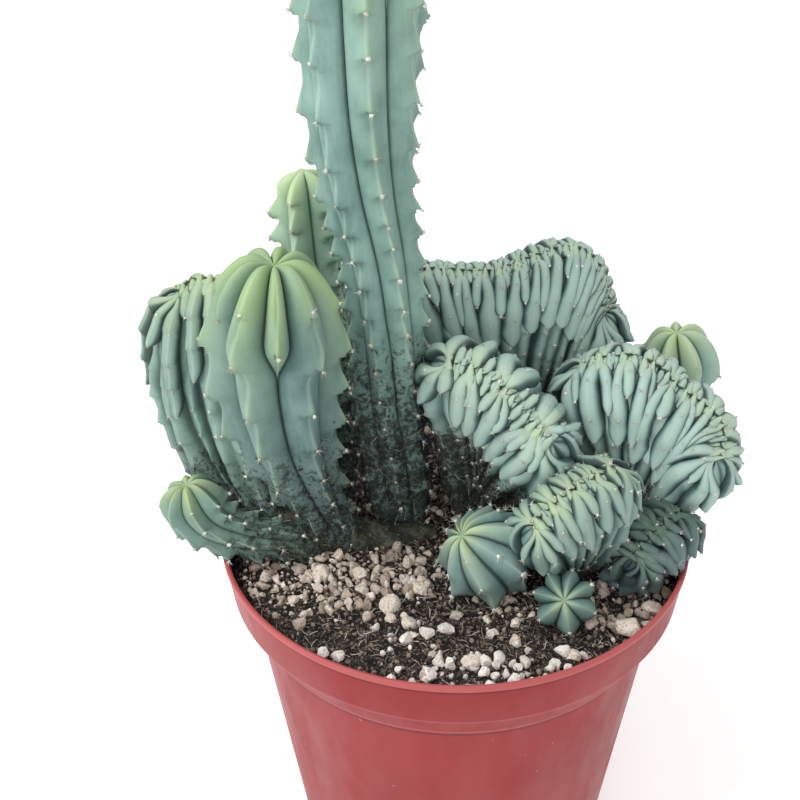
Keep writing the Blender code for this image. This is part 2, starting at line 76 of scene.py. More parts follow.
def shown(name, data):
    """An object in the scene with that mesh, light or camera."""
    made = bpy.data.objects.new(name, data)
    bpy.context.scene.collection.objects.link(made)
    return made


def mesh_of(name, points, edges=(), faces=(), **traits):
    """A mesh with a value of each trait at every point."""
    mesh = bpy.data.meshes.new(name)
    mesh.from_pydata(points, edges, faces)
    for trait, values in traits.items():
        values = np.asarray(values, float)
        kind, field = ("FLOAT_VECTOR", "vector") if values.ndim > 1 else ("FLOAT", "value")
        mesh.attributes.new(trait, kind, "POINT").data.foreach_set(field, values.ravel())
    return mesh


def node(tree, kind, inputs=None, **settings):
    """A node of a tree with its settings; each input is linked to a socket or set to a value."""
    made = tree.nodes.new(kind)
    for name, value in settings.items():
        setattr(made, name, value)
    for name, value in (inputs or {}).items():
        if isinstance(value, bpy.types.NodeSocket):
            tree.links.new(value, made.inputs[name])
        else:
            made.inputs[name].default_value = value
    return made


def wire(tree, kind, inputs=None, **settings):
    """The first output of such a node."""
    return node(tree, kind, inputs, **settings).outputs[0]


def maths(tree, operation, *values):
    """The result of a Math node."""
    return wire(tree, "ShaderNodeMath", dict(enumerate(values)), operation=operation)


def times(tree, first, second):
    """The product of two values."""
    return maths(tree, "MULTIPLY", first, second)


def geometry_tree(name, **inputs):
    """A Geometry Nodes tree with named inputs, and its inputs' sockets."""
    tree = bpy.data.node_groups.new(name, "GeometryNodeTree")
    for label, kind in {"Geometry": "Geometry", "Surface": "Material", **inputs}.items():
        tree.interface.new_socket(label, in_out="INPUT", socket_type="NodeSocket" + kind)
    tree.interface.new_socket("Geometry", in_out="OUTPUT", socket_type="NodeSocketGeometry")
    return tree, tree.nodes.new("NodeGroupInput").outputs


def finished(tree, given, geometry):
    """The tree with its last steps: all copies are made real and take the surface."""
    real = wire(tree, "GeometryNodeRealizeInstances", {"Geometry": geometry})
    done = wire(tree, "GeometryNodeSetMaterial", {"Geometry": real, "Material": given["Surface"]})
    tree.links.new(done, tree.nodes.new("NodeGroupOutput").inputs[0])
    return tree


def grown(name, start, tree, **values):
    """The mesh object that a Geometry Nodes tree makes from a start mesh, with nothing left live."""
    made = shown(name, start)
    modifier = made.modifiers.new(name, "NODES")
    modifier.node_group = tree
    for item in tree.interface.items_tree:
        if item.in_out == "INPUT" and item.name in values:
            modifier[item.identifier] = values[item.name]
    graph = bpy.context.evaluated_depsgraph_get()
    whole = bpy.data.meshes.new_from_object(made.evaluated_get(graph))
    made.modifiers.clear()
    made.data = whole
    whole.name = name
    return made


def seat(piece, slot, *nodes):
    """The piece rides with the part and stands for its solids; the slot is not used."""
    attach(piece, "root")
    if nodes:
        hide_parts(*nodes)


def turning_tree():
    """Geometry Nodes: an outline is rounded at its corners, turned about Z and drilled."""
    tree, given = geometry_tree(
        "turned_pot", Sides="Int", Rounding="Float", Hole_radius="Float", Hole_circle="Float"
    )
    line = wire(tree, "GeometryNodeMeshToCurve", {"Mesh": given["Geometry"]})
    fillet = {"Curve": line, "Count": 3, "Radius": given["Rounding"]}
    soft = wire(tree, "GeometryNodeFilletCurve", fillet, mode="POLY")
    edge = wire(tree, "GeometryNodeCurveToMesh", {"Curve": soft})
    count = node(tree, "GeometryNodeAttributeDomainSize", {"Geometry": edge}).outputs["Point Count"]
    across = maths(tree, "ADD", given["Sides"], 1.0)
    grid = wire(tree, "GeometryNodeMeshGrid", {"Vertices X": across, "Vertices Y": count})
    index = wire(tree, "GeometryNodeInputIndex")
    step = maths(tree, "FLOOR", maths(tree, "DIVIDE", maths(tree, "ADD", index, 0.5), count))
    row = maths(tree, "SUBTRACT", index, times(tree, step, count))
    known = {"Geometry": edge, "Value": wire(tree, "GeometryNodeInputPosition"), "Index": row}
    taken = wire(tree, "GeometryNodeSampleIndex", known, data_type="FLOAT_VECTOR")
    split = node(tree, "ShaderNodeSeparateXYZ", {0: taken}).outputs
    turn = times(tree, maths(tree, "DIVIDE", step, given["Sides"]), 2 * math.pi)
    east = times(tree, split["X"], maths(tree, "COSINE", turn))
    north = times(tree, split["X"], maths(tree, "SINE", turn))
    where = wire(tree, "ShaderNodeCombineXYZ", {"X": east, "Y": north, "Z": split["Z"]})
    shell = wire(tree, "GeometryNodeSetPosition", {"Geometry": grid, "Position": where})
    shut = wire(tree, "GeometryNodeMergeByDistance", {"Geometry": shell, "Distance": 0.00001})
    ring = wire(tree, "GeometryNodeMeshCircle", {"Vertices": 4, "Radius": given["Hole_circle"]})
    bit = {"Vertices": 28, "Radius": given["Hole_radius"], "Depth": 0.01}
    drill = wire(tree, "GeometryNodeMeshCylinder", bit, fill_type="NGON")
    drills = wire(tree, "GeometryNodeInstanceOnPoints", {"Points": ring, "Instance": drill})
    quarter = {"Geometry": drills, "Rotation": (0.0, 0.0, math.pi / 4)}
    turned = wire(tree, "GeometryNodeTransform", quarter)
    cut = {"Mesh 1": shut, "Mesh 2": wire(tree, "GeometryNodeRealizeInstances", {"Geometry": turned})}
    bored = wire(tree, "GeometryNodeMeshBoolean", cut, operation="DIFFERENCE", solver="EXACT")
    return finished(tree, given, bored)


def material(name):
    """A Principled material and its tree."""
    made = bpy.data.materials.new(name)
    made.use_nodes = True
    return made, made.node_tree


def noise(tree, scale, detail=3.0, stretch=(1.0, 1.0, 1.0), lift=0.0):
    """A noise value from 0 to 1 in the object's own space, drawn out along an axis by a stretch."""
    place = node(tree, "ShaderNodeTexCoord").outputs["Object"]
    turned = wire(
        tree, "ShaderNodeMapping", {"Vector": place, "Location": (lift, lift, 0.0), "Scale": stretch}
    )
    texture = {"Vector": turned, "Scale": scale, "Detail": detail, "Roughness": 0.6}
    return wire(tree, "ShaderNodeTexNoise", texture)


def window(tree, value, low, high, to_low=0.0, to_high=1.0):
    """A value's stretch from low to high as a soft step between two results."""
    span = {"Value": value, "From Min": low, "From Max": high, "To Min": to_low, "To Max": to_high}
    return wire(tree, "ShaderNodeMapRange", span, interpolation_type="SMOOTHSTEP")


def patches(tree, scale, detail, low, high, to_low=0.0, to_high=1.0, **place):
    """Soft-edged patches: a soft step between two results where a noise value passes a window."""
    return window(tree, noise(tree, scale, detail, **place), low, high, to_low, to_high)


def painted(tree, color, *coats):
    """A colour under coats of (share, colour)."""
    for share, coat in coats:
        made = node(tree, "ShaderNodeMix", data_type="RGBA", blend_type="MIX")
        tree.links.new(share, made.inputs[0])
        for socket, value in ((made.inputs[6], color), (made.inputs[7], coat)):
            if isinstance(value, bpy.types.NodeSocket):
                tree.links.new(value, socket)
            else:
                socket.default_value = (*value, 1.0)
        color = made.outputs[2]
    return color


def surfaced(made, color, rough, relief, strength, distance, gloss=0.5):
    """The material with its colour, roughness, fine relief and gloss."""
    tree = made.node_tree
    inputs = tree.nodes["Principled BSDF"].inputs
    tree.links.new(color, inputs["Base Color"])
    if isinstance(rough, float):
        inputs["Roughness"].default_value = rough
    else:
        tree.links.new(rough, inputs["Roughness"])
    bump = {"Height": relief, "Strength": strength, "Distance": distance}
    tree.links.new(wire(tree, "ShaderNodeBump", bump), inputs["Normal"])
    inputs["Specular IOR Level"].default_value = gloss
    return made


def pot_plastic():
    """Terracotta-coloured plastic: satin, a little faded, with painted shade in the moulded creases and
    painted highlights on the edges.
    """
    made, tree = material("pot_plastic")
    place = node(tree, "ShaderNodeTexCoord").outputs["Object"]
    height = node(tree, "ShaderNodeSeparateXYZ", {0: place}).outputs["Z"]

    def band(low, high, soft, share):
        """A share that holds between two heights and fades beyond them."""
        over = window(tree, height, low - soft, low, 0.0, share)
        return times(tree, over, window(tree, height, high, high + soft, 1.0, 0.0))

    streak = patches(tree, 60.0, 4.0, 0.52, 0.75, 0.0, 0.2, stretch=(1.0, 1.0, 0.12), lift=3.0)
    nick = patches(tree, 420.0, 2.0, 0.745, 0.77, 0.0, 0.5, lift=7.0)
    speck = patches(tree, 610.0, 2.0, 0.76, 0.79, 0.0, 0.7, lift=11.0)
    color = painted(
        tree, (0.262, 0.017, 0.018), (patches(tree, 22.0, 4.0, 0.35, 0.7), (0.300, 0.024, 0.025)),
        (streak, (0.37, 0.060, 0.058)), (nick, (0.68, 0.36, 0.32)), (speck, (0.12, 0.03, 0.03)),
        # Painted shade in the moulded creases and painted highlights on the rim and collar edges.
        *((band(*crease), (0.10, 0.008, 0.010)) for crease in CREASE_SHADOWS),
        *((band(*edge), (0.50, 0.115, 0.115)) for edge in EDGE_HIGHLIGHTS),
    )
    rough = patches(tree, 90.0, 5.0, 0.3, 0.75, 0.38, 0.56, stretch=(1.0, 1.0, 0.3), lift=5.0)
    scuff = noise(tree, 900.0, 3.0, (0.12, 0.12, 1.0), 2.0)
    return surfaced(made, color, rough, scuff, 0.05, 0.0004, 0.24)


outline = mesh_of(
    "pot_outline", [(r, 0.0, z) for r, z in POT_OUTLINE], [(i, i + 1) for i in range(len(POT_OUTLINE) - 1)]
)
pot = grown(
    "nursery_pot", outline, turning_tree(), Sides=POT_SIDES, Rounding=POT_ROUNDING,
    Hole_radius=DRAIN_RADIUS, Hole_circle=DRAIN_CIRCLE, Surface=pot_plastic(),
)
pot.data.shade_smooth()
pot.data.set_sharp_from_angle(angle=math.radians(40))
seat(pot, "terracotta_plastic", "pot")

# The potting mix: damp peat with fibres, beige pumice mostly on the left, white perlite in front
# and a few larger stones. It fills the pot to just under the rim, with a crumbly top.
SOIL_TOP = 0.120
MIX_RADIUS = 0.0732
MIX_SIDES = 220
# The mix inside the pot, from the wall under its top down to the pot's floor: (radius, height).
MIX_WALL = ((MIX_RADIUS, SOIL_TOP - 0.0065), (0.0705, 0.1085), (0.0645, 0.0985), (0.0532, 0.0018))
# The larger stones: (x, y, radius).
BIG_STONES = (
    (0.0520, -0.0425, 0.0046), (-0.0188, -0.0375, 0.0040), (-0.0405, -0.0235, 0.0036),
    (-0.0100, -0.0300, 0.0034), (-0.0290, -0.0240, 0.0032), (0.0050, -0.0600, 0.0030),
    (-0.0130, -0.0450, 0.0028), (0.0600, -0.0330, 0.0030),
)
# The corners of a three-sided strand.
THIRDS = (0.0, 2.0944, 4.1888)


def ease(value):
    """A smooth step from 0 to 1."""
    value = np.clip(value, 0.0, 1.0)
    return value * value * (3.0 - 2.0 * value)


def mix_height(x, y):
    """Height of the potting mix: it sinks to the pot's right side and is heaped at the back wall."""
    mound = 0.003 * ease((y - 0.030) / 0.03) - 0.003 * ease((x - 0.030) / 0.04)
    return SOIL_TOP - 0.0015 * (np.hypot(x, y) / 0.075) ** 2 + mound


def grid_faces(rows, count):
    """The faces between rings of that many points, and each ring's points in pairs."""
    here = np.arange(count)
    after = (here + 1) % count
    low = (np.arange(rows - 1) * count)[:, None]
    faces = np.stack([low + here, low + after, low + count + after, low + count + here], axis=-1)
    return faces.reshape(-1, 4).tolist(), list(zip(here.tolist(), after.tolist()))


def mix_body():
    """The mix as a closed body with a fine top, and how thickly each thing lies on it."""
    turn = 2 * math.pi * np.arange(MIX_SIDES) / MIX_SIDES
    top_radii = np.linspace(0.0008, MIX_RADIUS - 0.0012, 72)
    rings = [(r, mix_height(r * np.cos(turn), r * np.sin(turn))) for r in top_radii]
    rings += [(r, np.full(MIX_SIDES, z)) for r, z in MIX_WALL]
    points = np.vstack([np.column_stack([r * np.cos(turn), r * np.sin(turn), z]) for r, z in rings])
    top = np.repeat([1.0] * len(top_radii) + [0.0] * len(MIX_WALL), MIX_SIDES)
    faces, pairs = grid_faces(len(rings), MIX_SIDES)
    faces = [(a, d, c, b) for a, b, c, d in faces]
    last = (len(rings) - 1) * MIX_SIDES
    faces += [(len(points), i, j) for i, j in pairs]
    faces += [(len(points) + 1, last + j, last + i) for i, j in pairs]
    points = np.vstack([points, (0, 0, float(mix_height(0.0, 0.0))), (0, 0, MIX_WALL[-1][1])])
    top = np.concatenate([top, (1.0, 0.0)])
    x, y = points[:, 0], points[:, 1]
    open_top = top * ease((0.0712 - np.hypot(x, y)) / 0.0012)

    def patch(east, north, wide, deep):
        """A soft patch of the mix's surface, from its middle and half sizes."""
        return np.exp(-((((x - east) / wide) ** 2 + ((y - north) / deep) ** 2) ** 2))

    gravel = np.maximum(patch(-0.038, -0.024, 0.038, 0.015), patch(-0.010, 0.030, 0.06, 0.030) * 0.14)
    gravel += 0.45 * patch(0.016, -0.037, 0.011, 0.009) + 0.55 * patch(0.053, -0.035, 0.014, 0.013)
    white = 0.03 + 0.5 * patch(-0.010, -0.054, 0.014, 0.013) + patch(0.010, -0.064, 0.024, 0.009)
    return mesh_of(
        "potting_mix", points.tolist(), faces=faces, top=top, pumice=open_top * np.clip(0.05 + gravel, 0, 1),
        perlite=open_top * np.clip(white, 0, 1), peat=open_top * np.clip(1.0 - 0.6 * gravel, 0, 1),
    )


def named(tree, name, kind="FLOAT"):
    """A trait of the geometry."""
    return wire(tree, "GeometryNodeInputNamedAttribute", {"Name": name}, data_type=kind)


def random_value(tree, low, high, seed):
    """A random number for each point or copy."""
    return node(tree, "FunctionNodeRandomValue", {2: low, 3: high, "Seed": seed}).outputs[1]


def crumbled_tree():
    """Geometry Nodes: the top of the mix is raised and sunk into lumps and grains."""
    tree, given = geometry_tree("crumbled_mix", Lumps="Float", Grains="Float", Crumbs="Float")
    place = wire(tree, "GeometryNodeInputPosition")
    rise = 0.0
    for label, scale in (("Lumps", 95.0), ("Grains", 380.0), ("Crumbs", 1150.0)):
        field = wire(tree, "ShaderNodeTexNoise", {"Vector": place, "Scale": scale, "Detail": 2.0})
        step = times(tree, maths(tree, "SUBTRACT", field, 0.5), given[label])
        rise = maths(tree, "ADD", step, rise)
    offset = wire(tree, "ShaderNodeCombineXYZ", {"Z": times(tree, rise, named(tree, "top"))})
    raised = wire(tree, "GeometryNodeSetPosition", {"Geometry": given["Geometry"], "Offset": offset})
    return finished(tree, given, raised)


def with_copies(tree, given, points, turn, size, seed):
    """The tree's end: one of several shapes at each point, turned and sized, with a tone of its own."""
    shapes = wire(
        tree, "GeometryNodeCollectionInfo",
        {"Collection": given["Shapes"], "Separate Children": True, "Reset Children": True},
    )
    laid = wire(
        tree, "GeometryNodeInstanceOnPoints",
        {"Points": points, "Instance": shapes, "Pick Instance": True, "Rotation": turn, "Scale": size},
    )
    toned = wire(
        tree, "GeometryNodeStoreNamedAttribute",
        {"Geometry": laid, "Name": "tone", "Value": random_value(tree, 0.0, 1.0, seed)}, domain="INSTANCE",
    )
    return finished(tree, given, toned)


def strewn_tree(crowd):
    """Geometry Nodes: one of several shapes lies at each of many points of a surface."""
    tree, given = geometry_tree(
        "strewn_" + crowd, Shapes="Collection", Density="Float", Spacing="Float", Smallest="Float",
        Largest="Float", Tumble="Float", Lift="Float", Seed="Int",
    )
    points = wire(
        tree, "GeometryNodeDistributePointsOnFaces",
        {
            "Mesh": given["Geometry"], "Distance Min": given["Spacing"], "Density Max": given["Density"],
            "Density Factor": named(tree, crowd), "Seed": given["Seed"],
        },
        distribute_method="POISSON",
    )
    chance = maths(tree, "POWER", random_value(tree, 0.0, 1.0, given["Seed"]), 2.0)
    size = times(tree, chance, maths(tree, "SUBTRACT", given["Largest"], given["Smallest"]))
    size = maths(tree, "ADD", size, given["Smallest"])
    lift = wire(tree, "ShaderNodeCombineXYZ", {"Z": times(tree, size, given["Lift"])})
    lifted = wire(tree, "GeometryNodeSetPosition", {"Geometry": points, "Offset": lift})
    ends = {0: (-1.0, -1.0, -1.0), 1: (1.0, 1.0, 1.0), "Seed": 3}
    spin = wire(tree, "FunctionNodeRandomValue", ends, data_type="FLOAT_VECTOR")
    split = node(tree, "ShaderNodeSeparateXYZ", {0: spin}).outputs
    most = {"X": given["Tumble"], "Y": given["Tumble"], "Z": math.pi}
    turn = {axis: times(tree, split[axis], amount) for axis, amount in most.items()}
    turned = wire(tree, "FunctionNodeEulerToRotation", {0: wire(tree, "ShaderNodeCombineXYZ", turn)})
    return with_copies(tree, given, lifted, turned, size, 17)


def from_shapes(name, slot, start, tree, shapes, **values):
    """A piece made of copies of several shapes, which a tree lays on a start mesh.

    The shapes stand in a collection while the tree picks from it, and are removed after that.
    """
    box = bpy.data.collections.new(name + "_shapes")
    bpy.context.scene.collection.children.link(box)
    for mesh in shapes:
        box.objects.link(bpy.data.objects.new(mesh.name, mesh))
    made = grown(name, start, tree, Shapes=box, **values)
    for shape in list(box.objects):
        bpy.data.objects.remove(shape, do_unlink=True)
    bpy.data.collections.remove(box)
    seat(made, slot)


def stone(name, seed, detail, jag, flat, shallow=0.55):
    """An irregular stone about one unit in radius: a ball pushed in by random cuts.

    `jag` roughens its points, `flat` is its half height, and no cut comes nearer to the middle
    than `shallow`.
    """
    chance = np.random.RandomState(seed)
    work = bmesh.new()
    bmesh.ops.create_icosphere(work, subdivisions=detail, radius=1.0)
    points = np.array([v.co[:] for v in work.verts])
    for _ in range(9):
        aim = chance.normal(size=3)
        aim /= np.linalg.norm(aim)
        over = np.clip(points @ aim - chance.uniform(shallow, 0.85), 0, None)
        points -= over[:, None] * aim * 0.92
    points *= 1 + jag * chance.uniform(-1, 1, (len(points), 1))
    points *= (chance.uniform(0.85, 1.15), chance.uniform(0.75, 1.0), flat)
    for vertex, place in zip(work.verts, points):
        vertex.co = place
    mesh = bpy.data.meshes.new(name)
    work.to_mesh(mesh)
    work.free()
    return mesh


def cleaned(mesh, weld=0.0):
    """The mesh with its faces turned outward, and with points nearer than the weld joined."""
    work = bmesh.new()
    work.from_mesh(mesh)
    if weld:
        bmesh.ops.remove_doubles(work, verts=work.verts, dist=weld)
        bmesh.ops.dissolve_degenerate(work, edges=work.edges, dist=weld)
    bmesh.ops.recalc_face_normals(work, faces=work.faces)
    work.to_mesh(mesh)
    work.free()
    return mesh


def fibre(name, seed, pieces=5, radius=0.016, curl=0.8):
    """A fibre about one unit long: a thin three-sided strand that tapers and bends by its curl."""
    chance = np.random.RandomState(seed)
    heading, place, path = 0.0, np.zeros(3), [np.zeros(3)]
    for _ in range(pieces):
        heading += chance.uniform(-curl, curl)
        way = np.array((math.cos(heading), math.sin(heading), chance.uniform(-0.25, 0.25)))
        place = place + way / pieces
        path.append(place)
    path = np.array(path) - np.mean(path, axis=0)
    side = np.array((-math.sin(heading), math.cos(heading), 0.0))
    points, faces = [], []
    for k, centre in enumerate(path):
        wide = radius * (1 - 0.6 * abs(2 * k / pieces - 1))
        for turn in THIRDS:
            points.append(centre + wide * (side * math.cos(turn) + np.array((0.0, 0.0, math.sin(turn)))))
    for k in range(pieces):
        faces += [(3 * k + i, 3 * k + (i + 1) % 3, 3 * k + 3 + (i + 1) % 3, 3 * k + 3 + i) for i in range(3)]
    faces += [(2, 1, 0), (3 * pieces, 3 * pieces + 1, 3 * pieces + 2)]
    return cleaned(mesh_of(name, np.array(points).tolist(), faces=faces))


def grit(name, dark, pale, rough, spots):
    """Stone, perlite or peat: its colour varies from grain to grain, and pits and dust mottle it."""
    made, tree = material(name)
    tone = node(tree, "ShaderNodeAttribute", attribute_name="tone").outputs["Fac"]
    dust = tuple(0.5 * (a + b) for a, b in zip(dark, pale))
    color = painted(
        tree, dark, (tone, pale), (patches(tree, 1500.0, 4.0, 0.30, 0.56, 0.7, 0.0), spots),
        (patches(tree, 260.0, 3.0, 0.40, 0.75, 0.0, 0.5), dust),
    )
    return surfaced(made, color, rough, noise(tree, 2200.0, 4.0), 0.6, 0.0005)


def crumbly_peat():
    """Damp peat: nearly black hollows, brown crumbs and pale flecks of chaff and stone dust."""
    made, tree = material("peat")
    coats = [(patches(tree, 420.0, 5.0, 0.42, 0.62), (0.060, 0.041, 0.033))]
    for scale, low, share, flecks in (
        (640.0, 0.56, 0.85, (0.175, 0.125, 0.100)),
        (1000.0, 0.60, 0.90, (0.38, 0.295, 0.24)),
        (1300.0, 0.65, 0.95, (0.70, 0.59, 0.50)),
    ):
        coats.append((patches(tree, scale, 3.0, low, low + 0.04, 0.0, share, lift=0.003 * scale), flecks))
    for scale in (360.0, 850.0):
        coats.append((patches(tree, scale, 4.0, 0.41, 0.50, 0.95, 0.0, lift=7.0), (0.004, 0.003, 0.002)))
    color = painted(tree, (0.005, 0.0035, 0.0025), *coats)
    return surfaced(made, color, 0.95, noise(tree, 1150.0, 5.0), 0.9, 0.0012)


mix = grown(
    "potting_mix", mix_body(), crumbled_tree(), Lumps=0.0034, Grains=0.0030, Crumbs=0.0022,
    Surface=crumbly_peat(),
)
seat(mix, "potting_mix", "soil")
pumice = grit("pumice", (0.37, 0.29, 0.225), (0.97, 0.86, 0.74), 0.9, (0.13, 0.09, 0.07))
from_shapes(
    "pumice_grit", "potting_mix", mix.data.copy(), strewn_tree("pumice"),
    [stone(f"pumice_{k}", 40 + k, 2, 0.06, 0.75, 0.42) for k in range(4)],
    Density=520000.0, Spacing=0.0015, Smallest=0.0006, Largest=0.0029, Tumble=3.1, Lift=0.25, Seed=4,
    Surface=pumice,
)
from_shapes(
    "perlite_grit", "potting_mix", mix.data.copy(), strewn_tree("perlite"),
    [stone(f"perlite_{k}", 70 + k, 2, 0.10, 0.80, 0.35) for k in range(3)],
    Density=150000.0, Spacing=0.0024, Smallest=0.0009, Largest=0.0034, Tumble=3.1, Lift=0.35, Seed=9,
    Surface=grit("perlite", (0.66, 0.60, 0.54), (0.97, 0.93, 0.87), 0.85, (0.34, 0.29, 0.24)),
)
from_shapes(
    "peat_crumbs", "potting_mix", mix.data.copy(), strewn_tree("peat"),
    [stone(f"crumb_{k}", 90 + k, 1, 0.2, 0.7) for k in range(4)],
    Density=500000.0, Spacing=0.0013, Smallest=0.0003, Largest=0.0012, Tumble=3.1, Lift=0.3, Seed=2,
    Surface=grit("peat_crumb", (0.012, 0.008, 0.006), (0.42, 0.32, 0.255), 0.95, (0.008, 0.005, 0.004)),
)
from_shapes(
    "peat_fibres", "potting_mix", mix.data.copy(), strewn_tree("peat"),
    [fibre(f"fibre_{k}", 20 + k, 3, 0.05, 0.5) for k in range(8)],
    Density=420000.0, Spacing=0.0011, Smallest=0.0009, Largest=0.0038, Tumble=0.7, Lift=0.22, Seed=6,
    Surface=grit("peat_fibre", (0.020, 0.014, 0.010), (0.84, 0.69, 0.58), 0.9, (0.03, 0.022, 0.016)),
)
big = bpy.data.meshes.new("large_stones")
joined = bmesh.new()
for k, (x, y, size) in enumerate(BIG_STONES):
    lone = stone(f"large_{k}", 120 + k, 3, 0.015, 0.8)
    place = Matrix.Translation((x, y, float(mix_height(x, y)) + 0.25 * size))
    lone.transform(place @ Matrix.Scale(size, 4) @ Matrix.Rotation(k * 1.3, 4, "Z"))
    joined.from_mesh(lone)
joined.to_mesh(big)
joined.free()
big.materials.append(pumice)
big.attributes.new("tone", "FLOAT", "POINT").data.foreach_set("value", np.full(len(big.vertices), 0.8))
seat(shown("large_stones", big), "potting_mix")

# The ribbed stems: solid green flesh with a waxy skin. Each rib carries toothed cushions, and the
# skin is young and yellowish at the tip, blue-green in the middle and grey and dusty at the foot.
# Each stem starts in the mix, on a round neck that ends a little over it.
NECK_RISE = 0.0015
NECK_DEPTH = 0.007
FOOT_DEPTH = 0.009
# Points across a rib, as shares of its half width, close together at its crest and its grooves.
RIB_SPOTS = np.array((-1.0, -0.95, -0.86, -0.7, -0.45, -0.2, -0.07, 0.0, 0.07, 0.2, 0.45, 0.7, 0.86, 0.95))
ROW_STEP = 0.0008
# The ribs rise from the round foot over this height, and a late one over this share of the length.
FOOT_RISE = 0.02
BIRTH_RISE = 0.10
# A tooth falls back over this share of the gap to the next, from a cut of this height.
TOOTH_BACK = 0.6
TOOTH_CUT = 0.0009


def unit(vectors):
    """Vectors of length one along the given ones."""
    return vectors / np.maximum(np.linalg.norm(vectors, axis=-1, keepdims=True), 1e-12)


def smooth_curve(points, shares):
    """Values at shares of the length of a smooth curve through points, and that length."""
    points = np.array(points, float)
    ends = np.vstack([2 * points[0] - points[1], points, 2 * points[-1] - points[-2]])
    steps = np.linspace(0, len(points) - 1, 24 * (len(points) - 1) + 1)
    index = np.minimum(steps.astype(int), len(points) - 2)
    part = (steps - index)[:, None]
    a, b, c, d = (ends[index + k] for k in range(4))
    bend = 2 * a - 5 * b + 4 * c - d + part * (3 * b - a - 3 * c + d)
    fine = b + 0.5 * part * (c - a + part * bend)
    gaps = np.linalg.norm(np.diff(fine[:, :3], axis=0), axis=1)
    run = np.concatenate([[0.0], np.cumsum(gaps)])
    shares = np.asarray(shares, float) * run[-1]
    return np.stack([np.interp(shares, run, column) for column in fine.T], axis=-1), run[-1]


def skin_mesh(name, rings, foot, tip, traits, surface, seam=0):
    """A closed mesh over rings of equal count, with a value of each trait at every point.

    It closes at a foot point and at a tip point, or without one at a seam along its last ring,
    which starts from the place `seam` round the ring.
    """
    rows, count = rings.shape[:2]
    faces, pairs = grid_faces(rows, count)
    points = [*rings.reshape(-1, 3).tolist(), list(foot)]
    faces += [(rows * count, j, i) for i, j in pairs]
    last = (rows - 1) * count
    if tip is None:
        for i in range(count // 2):
            around = (seam + i, seam + i + 1, seam - i - 1, seam - i)
            corners = dict.fromkeys(last + place % count for place in around)
            if len(corners) > 2:
                faces.append(tuple(corners))
    else:
        points.append(list(tip))
        faces += [(rows * count + 1, last + i, last + j) for i, j in pairs]
    whole = {}
    for trait, values in traits.items():
        whole[trait] = np.full(len(points), values[-1].mean())
        whole[trait][: rows * count] = values.ravel()
        whole[trait][rows * count] = values[0].mean()
    mesh = cleaned(mesh_of(name, points, faces=faces, **whole), weld=0.00003)
    mesh.materials.append(surface)
    mesh.shade_smooth()
    return shown(name, mesh)


def cactus_skin(name, old, young, waxy, dirt_and_shade_color, crest_highlight=0.3, top_highlight=0.0, groove_shade_width=0.16,
                groove_shade_strength=0.75):
    """Waxy cactus skin: bluish bloom over green, painted highlights on the crests and rib tops, painted
    shade in the grooves, scars and dust below, which on the dark crest skins is also painted shade.
    """
    made, tree = material(name)
    youth, ridge, grime, tint = (
        node(tree, "ShaderNodeAttribute", attribute_name=kind).outputs["Fac"]
        for kind in ("youth", "ridge", "grime", "tint")
    )
    cloud = noise(tree, 55.0, 4.0)
    fresh = times(tree, youth, window(tree, ridge, 0.1, 0.9, 0.62, 1.0))
    drift = maths(tree, "ADD", fresh, times(tree, tint, 0.12))
    streak = patches(tree, 260.0, 4.0, 0.42, 0.72, 0.0, 0.28, stretch=(1.0, 1.0, 0.18))
    # The dirt film: on the nearly black crest skins it is also painted shade.
    dirt_and_shade_film = times(tree, grime, patches(tree, 420.0, 6.0, 0.22, 0.62, 0.3, 0.8))
    started = window(tree, grime, 0.02, 0.20)
    clumps = []
    for scale, share, place in ((230.0, 0.62, 0.0), (620.0, 0.75, 2.0)):
        ragged = noise(tree, scale, 9.0, lift=place)
        ragged = maths(tree, "ADD", ragged, times(tree, grime, 0.125))
        clump = times(tree, window(tree, ragged, 0.58, 0.665, 0.0, share), started)
        clumps.append((clump, (0.014, 0.019, 0.013)))
    crumb = times(tree, grime, patches(tree, 950.0, 3.0, 0.56, 0.62))
    mote = times(tree, started, patches(tree, 1100.0, 2.0, 0.64, 0.70, 0.0, 0.55, lift=4.0))
    color = painted(
        tree, old,
        (window(tree, cloud, 0.3, 0.72), waxy),
        (window(tree, drift, 0.0, 0.95), young),
        (streak, tuple(min(1.0, 1.25 * c + 0.03) for c in waxy)),
        # Painted shade in the grooves, where the ridge trait is low.
        (window(tree, ridge, 0.0, groove_shade_width, groove_shade_strength, 0.0), tuple(0.28 * c for c in old)),
        # Painted light on the broad tops of the ribs and fingers.
        (window(tree, ridge, 0.25, 0.95, 0.0, top_highlight), (0.52, 0.67, 0.60)),
        # A thin painted highlight along each crest.
        (window(tree, ridge, 0.92, 1.0, 0.0, crest_highlight), (0.55, 0.68, 0.52)),
        (patches(tree, 1300.0, 2.0, 0.70, 0.76, 0.0, 0.45), (0.42, 0.52, 0.44)),
        (patches(tree, 330.0, 5.0, 0.70, 0.76, 0.0, 0.55), (0.20, 0.19, 0.10)),
        (dirt_and_shade_film, dirt_and_shade_color),
        *clumps,
        (times(tree, crumb, 0.7), (0.022, 0.022, 0.018)),
        (mote, (0.36, 0.39, 0.32)),
    )
    rough = maths(tree, "ADD", times(tree, grime, 0.3), window(tree, cloud, 0.2, 0.8, 0.5, 0.62))
    pores = maths(tree, "ADD", noise(tree, 1500.0), times(tree, noise(tree, 190.0), 1.5))
    return surfaced(made, color, rough, pores, 0.22, 0.0004, 0.35)


